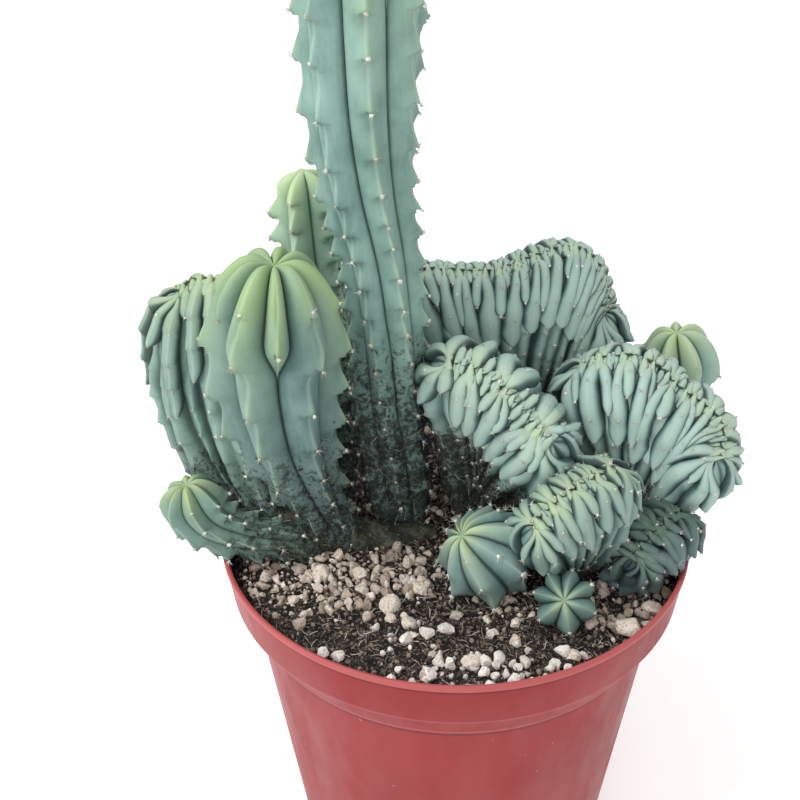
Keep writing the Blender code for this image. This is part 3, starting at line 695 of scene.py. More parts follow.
STEM_SKIN = cactus_skin(
    "stem_skin", (0.126, 0.234, 0.212), (0.36, 0.51, 0.24), (0.238, 0.382, 0.342), (0.094, 0.126, 0.124),
    crest_highlight=0.24,
)
FRONT_SKIN = cactus_skin(
    "front_skin", (0.094, 0.176, 0.168), (0.31, 0.44, 0.205), (0.172, 0.278, 0.266), (0.090, 0.120, 0.122),
    crest_highlight=0.20,
)
PALE_SKIN = cactus_skin(
    "pale_skin", (0.20, 0.33, 0.24), (0.44, 0.56, 0.30), (0.32, 0.47, 0.36), (0.060, 0.074, 0.056),
)
OLIVE_SKIN = cactus_skin(
    "olive_skin", (0.098, 0.178, 0.148), (0.36, 0.46, 0.22), (0.180, 0.295, 0.245), (0.060, 0.074, 0.056),
)
# All cushions, as (place, the way it faces, size). Section by section, the pieces add theirs.
cushions = []


def stem(name, neck, axis, births, turns, marks, groove, tooth, dome, surface, slot, youth=0.03, grime=0.05,
         settled=0.0, roundness=1.3, young_roundness=1.8, phases=None, puff=0.0, dimple=0.0, slim=0.66,
         cushion_size=0.72, calm=0.022):
    """A ribbed stem along an axis of (x, y, z, crest radius) points over its neck.

    `births` gives the share of the length at which each rib starts, negative for one that reaches
    the base, and `slim` how wide the late ones are beside the others. `turns` are the first rib's
    directions in degrees, evenly spaced from the base to the tip. `marks` are the cushions' places
    below the tip, and `phases` how far each rib's are shifted, as a share of the gap. `groove` is
    the grooves' radius as a share of the crests', `roundness` and `young_roundness` say how broad
    the crests are below and at the tip, and `tooth` is the height of a cushion's tooth, which is
    full from `calm` below the tip. `dome` is the height of the round tip; `puff` lifts it between
    its middle and its edge, and `dimple` lowers its middle. `youth` is how far down the young
    colours reach. The dirt is full up to the height `settled` and ends at `grime`.
    """
    births = np.array(births, float)
    base = np.array((neck[0], neck[1], SOIL_TOP + NECK_RISE, neck[2]))
    axis = [base - (0, 0, NECK_DEPTH, 0), base, *axis]
    length = smooth_curve(axis, [0.0])[1]
    tilts = np.radians(np.arange(0.0, 88.0, 3.5))
    levels = np.concatenate([
        np.arange(0.0, length - dome, ROW_STEP), length - dome + dome * np.sin(tilts)
    ])
    height = levels[:, None]
    foot_rise = ease(height / FOOT_RISE)
    share = ease((height / length - births) / BIRTH_RISE)
    widths = share * np.where(births > 0, slim, 1.0)
    edges = np.hstack([np.zeros((len(levels), 1)), np.cumsum(widths, axis=1)])
    edges *= 2 * math.pi / widths.sum(axis=1, keepdims=True)
    turn = np.radians(np.interp(levels / length, np.linspace(0, 1, len(turns)), turns))
    edges += (turn - edges[:, 1] / 2)[:, None]
    middle, half = (edges[:, 1:] + edges[:, :-1]) / 2, np.diff(edges, axis=1) / 2
    angle = (middle[:, :, None] + half[:, :, None] * RIB_SPOTS).reshape(len(levels), -1)
    across = np.tile(np.abs(RIB_SPOTS), len(births))[None, :]
    width, grown_share = (np.repeat(values, len(RIB_SPOTS), axis=1) for values in (half, share))
    which = np.repeat(np.arange(len(births)), len(RIB_SPOTS))[None, :]

    on_axis = smooth_curve(axis, levels / length)[0]
    radius = on_axis[:, 3:4]
    below_tip = length - height
    marks = np.sort(length - np.array(marks, float))
    # The count of cushions passed on the way up; the cut under a tooth slants down to the groove.
    slanted = height + 0.8 * across * width * radius
    if phases is None:
        late = 0.5 * (which % 2) + 0.13 * np.sin(2.4 * which + 0.7)
    else:
        late = np.array(phases)[which]
    passed = np.interp(slanted, marks, np.arange(len(marks))) + late
    passed = passed - np.clip((marks[0] - slanted) / (marks[1] - marks[0]), 0, None)
    part = passed % 1.0
    cut = TOOTH_CUT / np.interp(levels, marks[:-1], np.diff(marks))[:, None]
    proud = np.clip(1 - part / TOOTH_BACK, 0, None) ** 1.3
    proud = np.where(part > 1 - cut, ease((part - 1 + cut) / cut), proud)
    young = np.exp(-below_tip / youth)
    rise = foot_rise * ease(below_tip / calm)
    bite = tooth * (2 * proud - 1) * (1 - across) ** 3.0 * rise * grown_share

    power = roundness + (young_roundness - roundness) * young
    ridge = (1 - across**power) * grown_share
    deep = groove + (1 - groove) * (1 - foot_rise) - 0.08 * young
    cap = np.sqrt(np.clip(1 - np.clip((height - length + dome) / dome, 0, None) ** 2, 0.0004, 1))
    crease = 0.035 * np.exp(-(((1 - across) / 0.06) ** 2)) * foot_rise
    reach = radius * (deep + (1 - deep) * ridge - crease) * cap + bite * cap

    near = smooth_curve(axis, levels / length - 0.01)[0][:, :3]
    along = unit(smooth_curve(axis, levels / length + 0.01)[0][:, :3] - near)
    front = unit(np.array((0.0, -1.0, 0.0)) + along * along[:, 1:2])
    side = np.cross(along, front)
    outward = np.cos(angle)[..., None] * front[:, None] + np.sin(angle)[..., None] * side[:, None]
    hook = 0.9 * tooth * proud**4 * (1 - across) ** 2 * rise
    lifted = puff * ridge * np.sin(math.pi * np.clip(cap, 0, 1)) - dimple * np.exp(-((cap / 0.3) ** 2))
    rings = on_axis[:, None, :3] + outward * reach[..., None] + along[:, None] * (lifted - hook)[..., None]

    glow = 0.95 * np.exp(-(((part - 0.10) / 0.22) ** 2) - (across / 0.16) ** 2) * rise
    glow = glow * np.clip(1.3 - height / length, 0.2, 1.0)
    traits = {
        "youth": np.clip(young + 0.4 * glow, 0, 1),
        # The ridge trait places the skin's painted groove shade and painted highlights.
        "ridge": (1 - across**1.2) * np.ones_like(angle),
        "grime": (1 - ease((height - settled) / (grime - settled))) * np.ones_like(angle),
        "tint": np.sin(3.1 * which + 1.3) * np.ones_like(angle),
    }
    tip = smooth_curve(axis, [1.0])[0][0][:3] - dimple * along[-1]
    piece = skin_mesh(name, rings, base[:3] - (0, 0, FOOT_DEPTH), tip, traits, surface)
    seat(piece, slot, name)

    for rib in range(len(births)):
        column = rib * len(RIB_SPOTS) + len(RIB_SPOTS) // 2
        turns_over = np.floor(passed[1:, column]) > np.floor(passed[:-1, column])
        for row in np.nonzero(turns_over)[0] + 1:
            if share[row, rib] > 0.5 and levels[row] > 0.006:
                aim = unit(outward[row, column] - 0.2 * along[row] + along[row] * (1 - cap[row]) * 1.5)
                place = rings[row, column] - 0.0002 * along[row]
                size = cushion_size * (0.8 + 0.2 * float(ease((length - levels[row]) / 0.02)))
                cushions.append((place, aim, size))
    return piece


tall_stem = stem(
    "tall_stem", (-0.018, 0.009, 0.0095),
    (
        (-0.0190, 0.0090, 0.136, 0.0118), (-0.0210, 0.0090, 0.160, 0.0120), (-0.0208, 0.0090, 0.190, 0.0120),
        (-0.0222, 0.0090, 0.213, 0.0126), (-0.0253, 0.0090, 0.236, 0.0145), (-0.0264, 0.0090, 0.258, 0.0165),
        (-0.0256, 0.0090, 0.284, 0.0178), (-0.0250, 0.0090, 0.320, 0.0184),
    ),
    births=(-1, 0.83, -1, -1, -1, -1, -1, -1, 0.84), turns=(62.0, 54.0, 29.0, 19.0, 9.0, 4.0),
    marks=(
        0.010, 0.021, 0.0325, 0.044, 0.058, 0.0715, 0.0826, 0.0916, 0.0991, 0.1085, 0.118, 0.1275,
        0.137, 0.1465, 0.156, 0.166, 0.176, 0.186,
    ),
    phases=(0.0, 0.5, 0.0, 0.6, 0.1, 0.6, 0.35, 0.25, 0.5),
    groove=0.74, tooth=0.0015, dome=0.022, surface=STEM_SKIN, slot="stem_skin", youth=0.018, grime=0.088,
    settled=0.032,
)
rear_stem = stem(
    "rear_stem", (-0.039, 0.021, 0.0065),
    (
        (-0.0405, 0.0235, 0.143, 0.0095), (-0.0420, 0.0255, 0.173, 0.0112), (-0.0448, 0.0268, 0.204, 0.0112),
        (-0.0460, 0.0265, 0.233, 0.0100),
    ),
    births=(-1,) * 5, turns=(-18.0, -18.0), marks=np.arange(0.005, 0.11, 0.0082),
    groove=0.56, tooth=0.0021, dome=0.008, surface=PALE_SKIN, slot="stem_skin", youth=0.010, grime=0.11,
    roundness=1.0, young_roundness=1.15, calm=0.009,
)
front_stem = stem(
    "front_stem", (-0.037, -0.006, 0.0070),
    (
        (-0.0435, -0.0105, 0.142, 0.0105), (-0.0490, -0.0145, 0.164, 0.0155),
        (-0.0508, -0.0180, 0.187, 0.0192), (-0.0500, -0.0195, 0.205, 0.0200),
        (-0.0485, -0.0205, 0.225, 0.0190),
    ),
    births=(0.745, -1, -1, -1, -1, -1, -1, 0.82, -1), turns=(11.0, 11.0),
    marks=(0.0095, 0.022, 0.0365, 0.051, 0.066, 0.080, 0.093, 0.105),
    phases=(0.6, 0.05, 0.2, 0.5, 0.0, 0.5, 0.0, 0.4, 0.0),
    groove=0.70, tooth=0.0018, dome=0.024, surface=FRONT_SKIN, slot="stem_skin", youth=0.017,
    grime=0.075, roundness=1.25, young_roundness=2.8, puff=0.003, dimple=0.0015, calm=0.012,
)
low_offset = stem(
    "low_offset", (-0.0460, -0.0135, 0.0050),
    (
        (-0.0515, -0.0155, 0.1265, 0.0062), (-0.0637, -0.0170, 0.1295, 0.0078),
        (-0.0743, -0.0175, 0.1345, 0.0094), (-0.0797, -0.0175, 0.1415, 0.0106),
        (-0.0818, -0.0175, 0.1500, 0.0098),
    ),
    births=(-1,) * 8, turns=(15.0, 15.0), marks=np.arange(0.0045, 0.06, 0.0085),
    groove=0.74, tooth=0.0017, dome=0.008, surface=OLIVE_SKIN, slot="stem_skin", youth=0.0040,
    grime=0.046, roundness=1.0, young_roundness=1.3, puff=0.0006, dimple=0.0012,
)

# The crested fans: stems whose growing point has spread into a line. Finger-like ribs hang from
# star-shaped centres on that line, each with a hooked tip, over long ribs that run to the foot.
FAN_DOME = 0.80
FAN_STEP = 0.0006
# A round end counts as a half turn of this radius, and has the points of one with the second.
CORNER = 0.0085
CORNER_POINTS = 0.009
# The share of the height below which the long ribs run out.
RIB_FOOT = 0.22
# The most between two cushions of a finger, and the depth at which it has its full width.
BEAT = 0.0085
SWELLING = 0.0045
# The gaps between the short fingers under the growing line and between the buds across it, and
# how far down each side a bud reaches.
CROWN_GAP = 0.0031
BUD_GAP = 0.0017
BUD_REACH = 0.0024
FINGER_SQUASH = 0.92
FINGER_SIDES = 14
FINGER_STEPS = 20


def trait_of(mesh, trait):
    """A trait's value at every point of a mesh."""
    values = np.zeros(len(mesh.vertices))
    mesh.attributes[trait].data.foreach_get("value", values)
    return values


def with_paths(mesh, paths):
    """The core's mesh with the middle lines of the fingers beside it, as edges with their traits."""
    core = len(mesh.vertices)
    points, edges = [v.co[:] for v in mesh.vertices], []
    for path in paths:
        edges += [(len(points) + i, len(points) + i + 1) for i in range(len(path["place"]) - 1)]
        points += path["place"].tolist()
    traits = {"facing": [np.zeros((core, 3))], "wide": [np.zeros(core)]}
    traits |= {trait: [trait_of(mesh, trait)] for trait in ("youth", "ridge", "grime", "tint")}
    for trait, values in traits.items():
        values += [path.get(trait, np.zeros(len(path["place"]))) for path in paths]
    return mesh_of(
        mesh.name + "_paths", points, edges, [tuple(face.vertices) for face in mesh.polygons],
        is_path=np.arange(len(points)) >= core, **{t: np.concatenate(v) for t, v in traits.items()},
    )


def finger_tree():
    """Geometry Nodes: a rounded body is swept along each path, as wide as the path says."""
    tree, given = geometry_tree("swept_fingers", Sides="Int", Squash="Float")
    chosen = maths(tree, "GREATER_THAN", named(tree, "is_path"), 0.5)
    parted = node(
        tree, "GeometryNodeSeparateGeometry", {"Geometry": given["Geometry"], "Selection": chosen}
    ).outputs
    bare = wire(tree, "GeometryNodeRemoveAttribute", {"Geometry": parted[0], "Name": "ridge"})
    line = wire(tree, "GeometryNodeMeshToCurve", {"Mesh": bare})
    upright = {"Curve": line, "Normal": named(tree, "facing", "FLOAT_VECTOR")}
    turned = wire(tree, "GeometryNodeSetCurveNormal", upright, mode="FREE")
    ring = wire(tree, "GeometryNodeCurvePrimitiveCircle", {"Resolution": given["Sides"], "Radius": 1.0})
    place = wire(tree, "GeometryNodeInputPosition")
    high = node(tree, "ShaderNodeSeparateXYZ", {0: place}).outputs["X"]
    # The ridge value across each finger's section places the skin's painted shade at its sides and painted
    # light on its top.
    ridge = wire(tree, "ShaderNodeMapRange", {"Value": high, "From Min": 0.48, "From Max": 0.98})
    mark = {"Geometry": ring, "Name": "ridge", "Value": ridge}
    marked = wire(tree, "GeometryNodeStoreNamedAttribute", mark, domain="POINT")
    low = wire(tree, "ShaderNodeCombineXYZ", {"X": given["Squash"], "Y": 1.0, "Z": 1.0})
    squashed = wire(tree, "GeometryNodeTransform", {"Geometry": marked, "Scale": low})
    sweep = {"Curve": turned, "Profile Curve": squashed, "Scale": named(tree, "wide"), "Fill Caps": True}
    both = tree.nodes.new("GeometryNodeJoinGeometry")
    tree.links.new(wire(tree, "GeometryNodeCurveToMesh", sweep), both.inputs[0])
    tree.links.new(parted[1], both.inputs[0])
    return finished(tree, given, both.outputs[0])


def fan(name, neck, waist, line, thickness, stars, surface, slot, seed, finger_gap=0.0046,
        reach=(0.008, 0.022), finger_height=0.0036, long_gap=0.0075, grime=(0.05, 0.35), youth=0.004,
        back_gap=None, back_reach=None, widest=0.0042, hook=0.35, nub=0.10, step=FAN_STEP):
    """A crested fan: two long sides and two round ends over a growing line.

    Between its foot and the growing line it bends towards the line `waist`. `thickness` is its
    half depth at a quarter of the height, half-way up and under the dome. `stars` are the growing
    centres, as shares of the line. Fingers hang from them, one every `finger_gap`, no wider to
    each side than `widest`, and end between the two depths of `reach`; `back_gap` and `back_reach`
    are those of the back side. `hook` lifts their tips and `nub` their cushions. `long_gap` is the
    gap between the long ribs under them. `youth` is how far the young colours reach from a centre.
    The dirt, which with the dark crest skins is also painted shade, is full up to the first share of the
    height in `grime` and ends at the second.
    """
    chance = np.random.RandomState(seed)
    foot = np.array((neck[0], neck[1], SOIL_TOP + NECK_RISE))
    half_foot = np.array((0.001, 0.0, 0.0))
    span = smooth_curve(line, [0.0])[1]

    def spine(u, v):
        """The fan's middle sheet at shares of its width and height."""
        low = foot + (2 * u - 1)[..., None] * half_foot
        middle = smooth_curve(waist, u.ravel())[0].reshape(*u.shape, 3)
        high = smooth_curve(line, u.ravel())[0].reshape(*u.shape, 3)
        v = v[..., None]
        return (1 - v) ** 2 * low + 2 * v * (1 - v) * middle + v * v * high

    # Places round the ring: the front side, the right end, the back side, the left end.
    counts = [2 * max(4, int(size / step / 2)) for size in (span, math.pi * CORNER_POINTS) * 2]
    which = np.concatenate([np.full(n, k) for k, n in enumerate(counts)])
    part = np.concatenate([np.arange(n) / n for n in counts])
    lengths = np.array((span, math.pi * CORNER) * 2)
    starts = np.concatenate([[0.0], np.cumsum(lengths)])
    total = starts[-1]
    around = starts[which] + part * lengths[which]
    u = np.choose(which, (part, np.ones_like(part), 1 - part, np.zeros_like(part)))
    turn = np.where(which % 2 == 1, math.pi * part, 0.0)

    height = np.linalg.norm(smooth_curve(line, [0.5])[0][0] - foot)
    flat = np.linspace(0.03, FAN_DOME, int(0.8 * height / step))
    tilts = np.radians(np.concatenate([np.arange(4.0, 84.0, 4.0), (84.0, 87.0)]))
    v = np.concatenate([flat, FAN_DOME + (1 - FAN_DOME) * np.sin(tilts)])
    tilt = np.concatenate([np.zeros(len(flat)), tilts])
    U, V = np.broadcast_to(u, (len(v), len(u))), np.broadcast_to(v[:, None], (len(v), len(u)))
    along = spine(np.minimum(U + 0.04, 1.0), V) - spine(np.maximum(U - 0.04, 0.0), V)
    up = unit(spine(U, np.minimum(V + 0.03, 1.0)) - spine(U, np.maximum(V - 0.03, 0.0)))
    front = unit(np.cross(along, up))
    out = np.cos(turn)[None, :, None] * front + np.sin(turn)[None, :, None] * np.cross(up, front)
    out = np.where((which < 2)[None, :, None], out, -out)
    aim = unit(out * np.cos(tilt)[:, None, None] + up * np.sin(tilt)[:, None, None])
    half = np.interp(v, (0.0, 0.25, 0.55, FAN_DOME), (neck[2], *thickness)) * np.cos(tilt)
    shell = spine(U, V) + out * half[:, None, None]

    # Depth below the growing line, and how much a step round the ring measures there.
    drop = np.linalg.norm(np.diff(shell, axis=0), axis=-1)
    depth = np.vstack([np.cumsum(drop[::-1], axis=0)[::-1], np.zeros((1, len(u)))])
    beside = np.linalg.norm(np.roll(shell, -1, axis=1) - np.roll(shell, 1, axis=1), axis=-1)
    stretch = np.clip(beside / ((np.roll(around, -1) - np.roll(around, 1)) % total), 0.05, 1.6)

    def short_way(steps):
        """Steps round the ring, taken the short way."""
        return (steps + total / 2) % total - total / 2

    def side_of(place):
        """The side of the ring that a place is on."""
        return int(np.searchsorted(starts, place, side="right")) - 1

    def on_shell(place, low):
        """The shell's place and outward way, and its stretch, at a place round the ring and a depth."""
        column = int(np.searchsorted(around, place % total, side="right")) - 1
        after = (column + 1) % len(u)
        share = (place % total - around[column]) / ((around[after] - around[column]) % total)
        ends = []
        for c in (column, after):
            known = np.column_stack([shell[::-1, c], aim[::-1, c], stretch[::-1, c]]).T
            ends.append(np.array([np.interp(low, depth[::-1, c], row) for row in known]))
        return (1 - share) * ends[0] + share * ends[1]

    # Long ribs, which narrow to the foot, carry cushions and come out from under the fingers.
    lift = np.full(shell.shape[:2], -0.0006)
    edge = np.zeros_like(lift)
    tint = np.zeros_like(lift)
    room = finger_height * np.clip(stretch * 1.25, 0.12, 1.0)
    long_count = max(4, round(total / long_gap))
    gap = total / long_count
    clear = 0.25 + 0.75 * ease((depth - 0.55 * reach[1]) / (0.30 * reach[1]))
    teeth = []
    for k in range(long_count):
        place = (k + 0.5 + chance.uniform(-0.12, 0.12)) * gap
        across = np.abs(short_way(around[None, :] - place) / (gap * 0.53)) * np.ones_like(lift)
        start, beat = chance.uniform(0.85, 1.05) * reach[1], chance.uniform(0.0085, 0.0105)
        passed = ((start - depth) / beat) % 1.0
        proud = np.clip(1 - passed / TOOTH_BACK, 0, None) ** 1.4 + np.clip((passed - 0.93) / 0.07, 0, None)
        rise = 0.82 * room * np.clip(1 - across**2.0, 0, 1) ** 0.8
        rise += 0.30 * room * proud * np.clip(1 - across, 0, 1) ** 1.6
        rise = (rise + 0.0002) * ease(V / RIB_FOOT) * clear
        over = (across < 1) & (rise > lift)
        lift[over] = rise[over]
        edge[over] = (1 - across)[over]
        tint[over] = chance.uniform(-1, 1)
        teeth.append((place, start, beat))

    # Fingers from the star centres: (place, way back to the centre, end's depth, size, tint).
    centres = np.array(stars) * span
    fingers = []
    for first, size, gap_here, (shortest, longest) in (
        (0.0, starts[2], finger_gap, reach),
        (starts[2], total - starts[2], back_gap or finger_gap, back_reach or reach),
    ):
        count = round(size / gap_here)
        for k in range(count):
            place = first + (k + 0.5 + chance.uniform(-0.2, 0.2)) * size / count
            side = side_of(place)
            on_line = (place, span, total - math.pi * CORNER - place, 0.0)[side]
            root = centres[np.argmin(np.abs(centres - on_line))]
            later_half = place - starts[side] > lengths[side] / 2
            if not (side == 0 or (side == 1 and not later_half) or (side == 3 and later_half)):
                root = starts[3] - root
            if side == 3 and later_half:
                root += total
            tier = (0.05, 0.80, 0.30, 1.0)[k % 4] + chance.uniform(-0.15, 0.15)
            end = shortest + (longest - shortest) * min(max(tier, 0.0), 1.0)
            fingers.append((place, root - place, end, chance.uniform(0.92, 1.10), chance.uniform(-1, 1)))
    # Short ones fill the rows on both long sides, just under the growing line.
    crown = []
    count = round(total / CROWN_GAP)
    for k in range(count):
        place = (k + 0.5 + chance.uniform(-0.25, 0.25)) * total / count
        if side_of(place) % 2 == 0:
            end = chance.uniform(0.0032, 0.0060)
            crown.append((place, 0.0, end, chance.uniform(0.8, 1.1), chance.uniform(-1, 1)))

    def room_beside(k, low):
        """Half the free width beside finger k at each depth: it grows where its neighbours have ended."""
        room = np.zeros_like(low)
        for way in (-1, 1):
            wide = np.full_like(low, 4.0 * finger_gap)
            for away in (4, 3, 2, 1):
                other = fingers[(k + way * away) % len(fingers)]
                apart = abs(short_way(other[0] - fingers[k][0]))
                wide += (apart - wide) * (1 - ease((low - other[2] + SWELLING) / 0.005))
            room += 0.25 * wide
        return room

    steps = FINGER_STEPS if reach[1] < 0.03 else 2 * FINGER_STEPS
    long_share = np.concatenate([np.linspace(0.0, 0.8, steps - 7), np.linspace(0.84, 1.0, 7)])
    short_share = np.array((0.0, 0.15, 0.35, 0.55, 0.72, 0.86, 0.95, 1.0))
    paths = []
    for k, (place, sway, end, size, shade) in enumerate(fingers + crown):
        small = k >= len(fingers)
        share = short_share if small else long_share
        low = 0.0003 + share * (end - 0.0003)
        way = place + sway * np.clip(1 - low / min(0.009, 0.8 * end), 0, 1) ** 1.6
        here = np.array([on_shell(p, d) for p, d in zip(way, low)])
        room = np.full_like(low, 0.55 * CROWN_GAP) if small else room_beside(k, low)
        near_end = np.clip((share - 0.55) / 0.45, 0, 1)
        begin = 1.0 if small else 0.5
        trunk = np.maximum(np.minimum(room * here[:, 6], widest) * 1.06 * size, 0.0011)
        trunk *= begin + (1 - begin) * ease(low / SWELLING)
        half_wide = trunk * np.sqrt(np.maximum(1 - near_end**5.0, 0.075))
        half_wide[0] *= 0.3
        if small:
            top = finger_height * size * (0.50 + 0.28 * ease(share))
        else:
            beat = min(BEAT, 0.5 * end)
            knob = np.clip(1 - (end - low) % beat / (TOOTH_BACK * beat), 0, 1) ** 1.3
            top = finger_height * size * (0.34 + 0.66 * ease(low / SWELLING)) * (0.94 + hook * near_end**1.5)
            top += nub * finger_height * ease(low / 0.006) * knob
        top = np.minimum(top, 0.0005 + 1.8 * FINGER_SQUASH * trunk + 0.4 * hook * finger_height * near_end)
        facing = unit(here[:, 3:6])
        middle_line = here[:, :3] + facing * (top - FINGER_SQUASH * half_wide)[:, None]
        off_centre = way - place - sway
        if small:
            middle_line[0] -= 0.0018 * unit(middle_line[2] - middle_line[0])
            off_centre = min(abs(short_way(c - place)) for c in (*centres, *(starts[3] - centres)))
        starry = np.exp(-np.hypot(low, 0.7 * off_centre) / youth)
        paths.append({
            "place": middle_line, "facing": facing, "wide": half_wide, "tint": np.full_like(low, shade),
            "youth": np.clip(0.95 * starry + 0.10 * np.exp(-low / 0.012), 0, 1),
        })

    # Small buds lie across the growing line and close it.
    across_line = np.linspace(-1.0, 1.0, 7)
    bulge = np.sqrt(np.clip(1.04 - across_line**2, 0, 1))
    bud_count = round(span / BUD_GAP)
    for k in range(bud_count):
        place = (k + chance.uniform(0.2, 0.8)) * span / bud_count
        wide, high = chance.uniform(0.0008, 0.0013), chance.uniform(0.0004, 0.0012)
        ways = [(place if s < 0 else starts[3] - place, BUD_REACH * abs(s)) for s in across_line]
        here = np.array([on_shell(way, low)[:6] for way, low in ways])
        facing = unit(here[:, 3:6])
        starry = math.exp(-np.min(np.abs(centres - place)) / youth)
        paths.append({
            "place": here[:, :3] + facing * (high * bulge)[:, None], "facing": facing, "wide": wide * bulge,
            "tint": np.full(7, chance.uniform(-1, 1)), "youth": np.full(7, 0.9 * starry),
        })

    wobble = 0.0002 * np.sin(around * 900 + 3 * np.sin(depth * 300))
    rings = shell + aim * (lift + wobble)[..., None]
    traits = {
        "youth": 0.15 * np.exp(-depth / 0.01),
        # The ridge trait places the skin's painted groove shade and painted light on the rib tops.
        "ridge": np.clip(edge, 0, 1) ** 0.9,
        "grime": 1 - ease((V - grime[0]) / (grime[1] - grime[0])),
        "tint": tint,
    }
    core = skin_mesh(
        name + "_core", rings, foot - (0, 0, FOOT_DEPTH), None, traits, surface, len(u) - counts[3] // 2
    )
    piece = grown(
        name, with_paths(core.data, paths), finger_tree(), Sides=FINGER_SIDES, Squash=FINGER_SQUASH,
        Surface=surface,
    )
    bpy.data.objects.remove(core)
    piece.data.shade_smooth()
    seat(piece, slot, name)

    # Cushions: at the fingers' tips and along them, on the long ribs, the buds and the centres.
    beside = np.roll(rings, -1, axis=1) - np.roll(rings, 1, axis=1)
    normals = unit(np.cross(beside, np.gradient(rings, axis=0)))
    normals *= np.sign((normals * aim).sum(axis=-1, keepdims=True))
    for (_, _, end, size, _), path in zip(fingers + crown, paths):
        tip_aim = unit(0.75 * path["facing"][-1] + 0.55 * unit(path["place"][-1] - path["place"][-4]))
        cushions.append((path["place"][-1] + 0.0003 * tip_aim, tip_aim, 0.66 * size))
        beat = min(BEAT, 0.5 * end)
        for low in np.arange(end - beat, 0.004, -beat) if end > 0.0095 else ():
            spot = int(np.argmin(np.abs(long_share * end - low)))
            high = path["place"][spot] + path["facing"][spot] * FINGER_SQUASH * path["wide"][spot]
            cushions.append((high, path["facing"][spot], 0.55))
    for place, start, beat in teeth:
        column = int(np.argmin(np.abs(short_way(around - place))))
        for low in np.arange(start, 0.05, beat):
            row = int(np.argmin(np.abs(depth[:, column] - low + 0.0006)))
            if v[row] > RIB_FOOT:
                pull = unit(0.55 * normals[row, column] + 0.45 * aim[row, column] - 0.25 * up[row, column])
                cushions.append((rings[row, column], pull, 0.6))
    for path in paths[len(fingers) + len(crown)::2]:
        cushions.append((path["place"][3] + 0.0014 * path["facing"][3], path["facing"][3], 0.55))
    for centre in centres:
        for place in (centre, starts[3] - centre):
            for _ in range(3):
                here = on_shell(place + chance.uniform(-0.0012, 0.0012), chance.uniform(0.0, 0.0022))
                cushions.append((here[:3] + 0.0012 * here[3:6], here[3:6], 0.6))
    return piece


# The crest skins' nearly black dirt colour is also painted shade on the fans' shadowed lower parts.
CREST_SKIN = cactus_skin(
    "crest_skin", (0.120, 0.230, 0.212), (0.42, 0.53, 0.26), (0.250, 0.395, 0.362), (0.040, 0.040, 0.030),
    crest_highlight=0.14, top_highlight=0.52, groove_shade_width=0.62, groove_shade_strength=0.95,
)
# A darker copy of the crest skin, as painted shade on the small fan under the upper fans.
SHADOWED_CREST_SKIN = cactus_skin(
    "low_skin", (0.082, 0.160, 0.150), (0.37, 0.46, 0.22), (0.155, 0.262, 0.240), (0.040, 0.040, 0.030),
    crest_highlight=0.12, top_highlight=0.27, groove_shade_width=0.62, groove_shade_strength=0.95,
)
LEFT_SKIN = cactus_skin(
    "left_skin", (0.098, 0.178, 0.148), (0.36, 0.46, 0.22), (0.184, 0.301, 0.250), (0.082, 0.106, 0.096),
    crest_highlight=0.24, top_highlight=0.18, groove_shade_width=0.55, groove_shade_strength=0.88,
)
# A much darker copy of the crest skin, as painted shade on the low fan under the others.
SHADED_SKIN = cactus_skin(
    "shaded_skin", (0.036, 0.072, 0.076), (0.125, 0.205, 0.125), (0.066, 0.122, 0.118),
    (0.030, 0.034, 0.030),
    crest_highlight=0.05, top_highlight=0.10, groove_shade_width=0.55, groove_shade_strength=0.9,
)
fan(
    "upper_crest", (0.024, 0.036, 0.0085),
    ((-0.001, 0.0420, 0.152), (0.023, 0.0442, 0.162), (0.038, 0.0465, 0.156)),
    (
        (-0.010, 0.033, 0.197), (0.003, 0.035, 0.195), (0.014, 0.035, 0.196), (0.024, 0.036, 0.200),
        (0.035, 0.038, 0.2025), (0.043, 0.039, 0.198), (0.047, 0.0385, 0.190), (0.0485, 0.038, 0.180),
    ),
    thickness=(0.0095, 0.0113, 0.0103),
    stars=(0.0, 0.08, 0.16, 0.24, 0.32, 0.40, 0.48, 0.56, 0.64, 0.72, 0.80, 0.88, 0.96),
    surface=CREST_SKIN, slot="crest_skin", seed=11, reach=(0.009, 0.025), finger_gap=0.0036, youth=0.0022,
    hook=0.18, grime=(0.30, 0.66), step=0.0010,
)
# Its dark film reaches high up the trunk: dirt, and painted shade where the fan stands between the tall stem
# and the upper fan.
middle_crest = fan(
    "middle_crest", (0.008, 0.010, 0.0085),
    ((0.0080, 0.0138, 0.160), (0.0150, 0.011, 0.156), (0.0215, 0.005, 0.148)),
    (
        (-0.0024, -0.0005, 0.1830), (0.0076, -0.004, 0.1815), (0.017, -0.007, 0.1745),
        (0.0243, -0.010, 0.166), (0.0285, -0.012, 0.163),
    ),
    thickness=(0.0088, 0.0101, 0.0104), stars=(0.0, 0.20, 0.46, 0.86),
    surface=CREST_SKIN, slot="crest_skin", seed=5, reach=(0.007, 0.017), finger_gap=0.0040, widest=0.0032,
    back_gap=0.0075, back_reach=(0.012, 0.022), grime=(0.42, 0.80), step=0.0008, youth=0.0046,
)
fan(
    "right_crest", (0.057, 0.009, 0.0080),
    ((0.0500, 0.0122, 0.150), (0.058, 0.010, 0.148), (0.0705, 0.006, 0.144)),
    (
        (0.0388, 0.011, 0.175), (0.044, 0.008, 0.179), (0.053, 0.006, 0.181), (0.061, 0.004, 0.178),
        (0.067, 0.001, 0.173), (0.074, -0.001, 0.169), (0.079, -0.004, 0.164), (0.079, -0.008, 0.155),
    ),
    thickness=(0.0083, 0.0103, 0.0105), stars=(0.0, 0.13, 0.26, 0.38, 0.51, 0.63, 0.75, 0.86, 0.97),
    surface=CREST_SKIN, slot="crest_skin", seed=23, reach=(0.009, 0.028), finger_gap=0.0039, widest=0.0034,
    youth=0.003, step=0.0008,
)
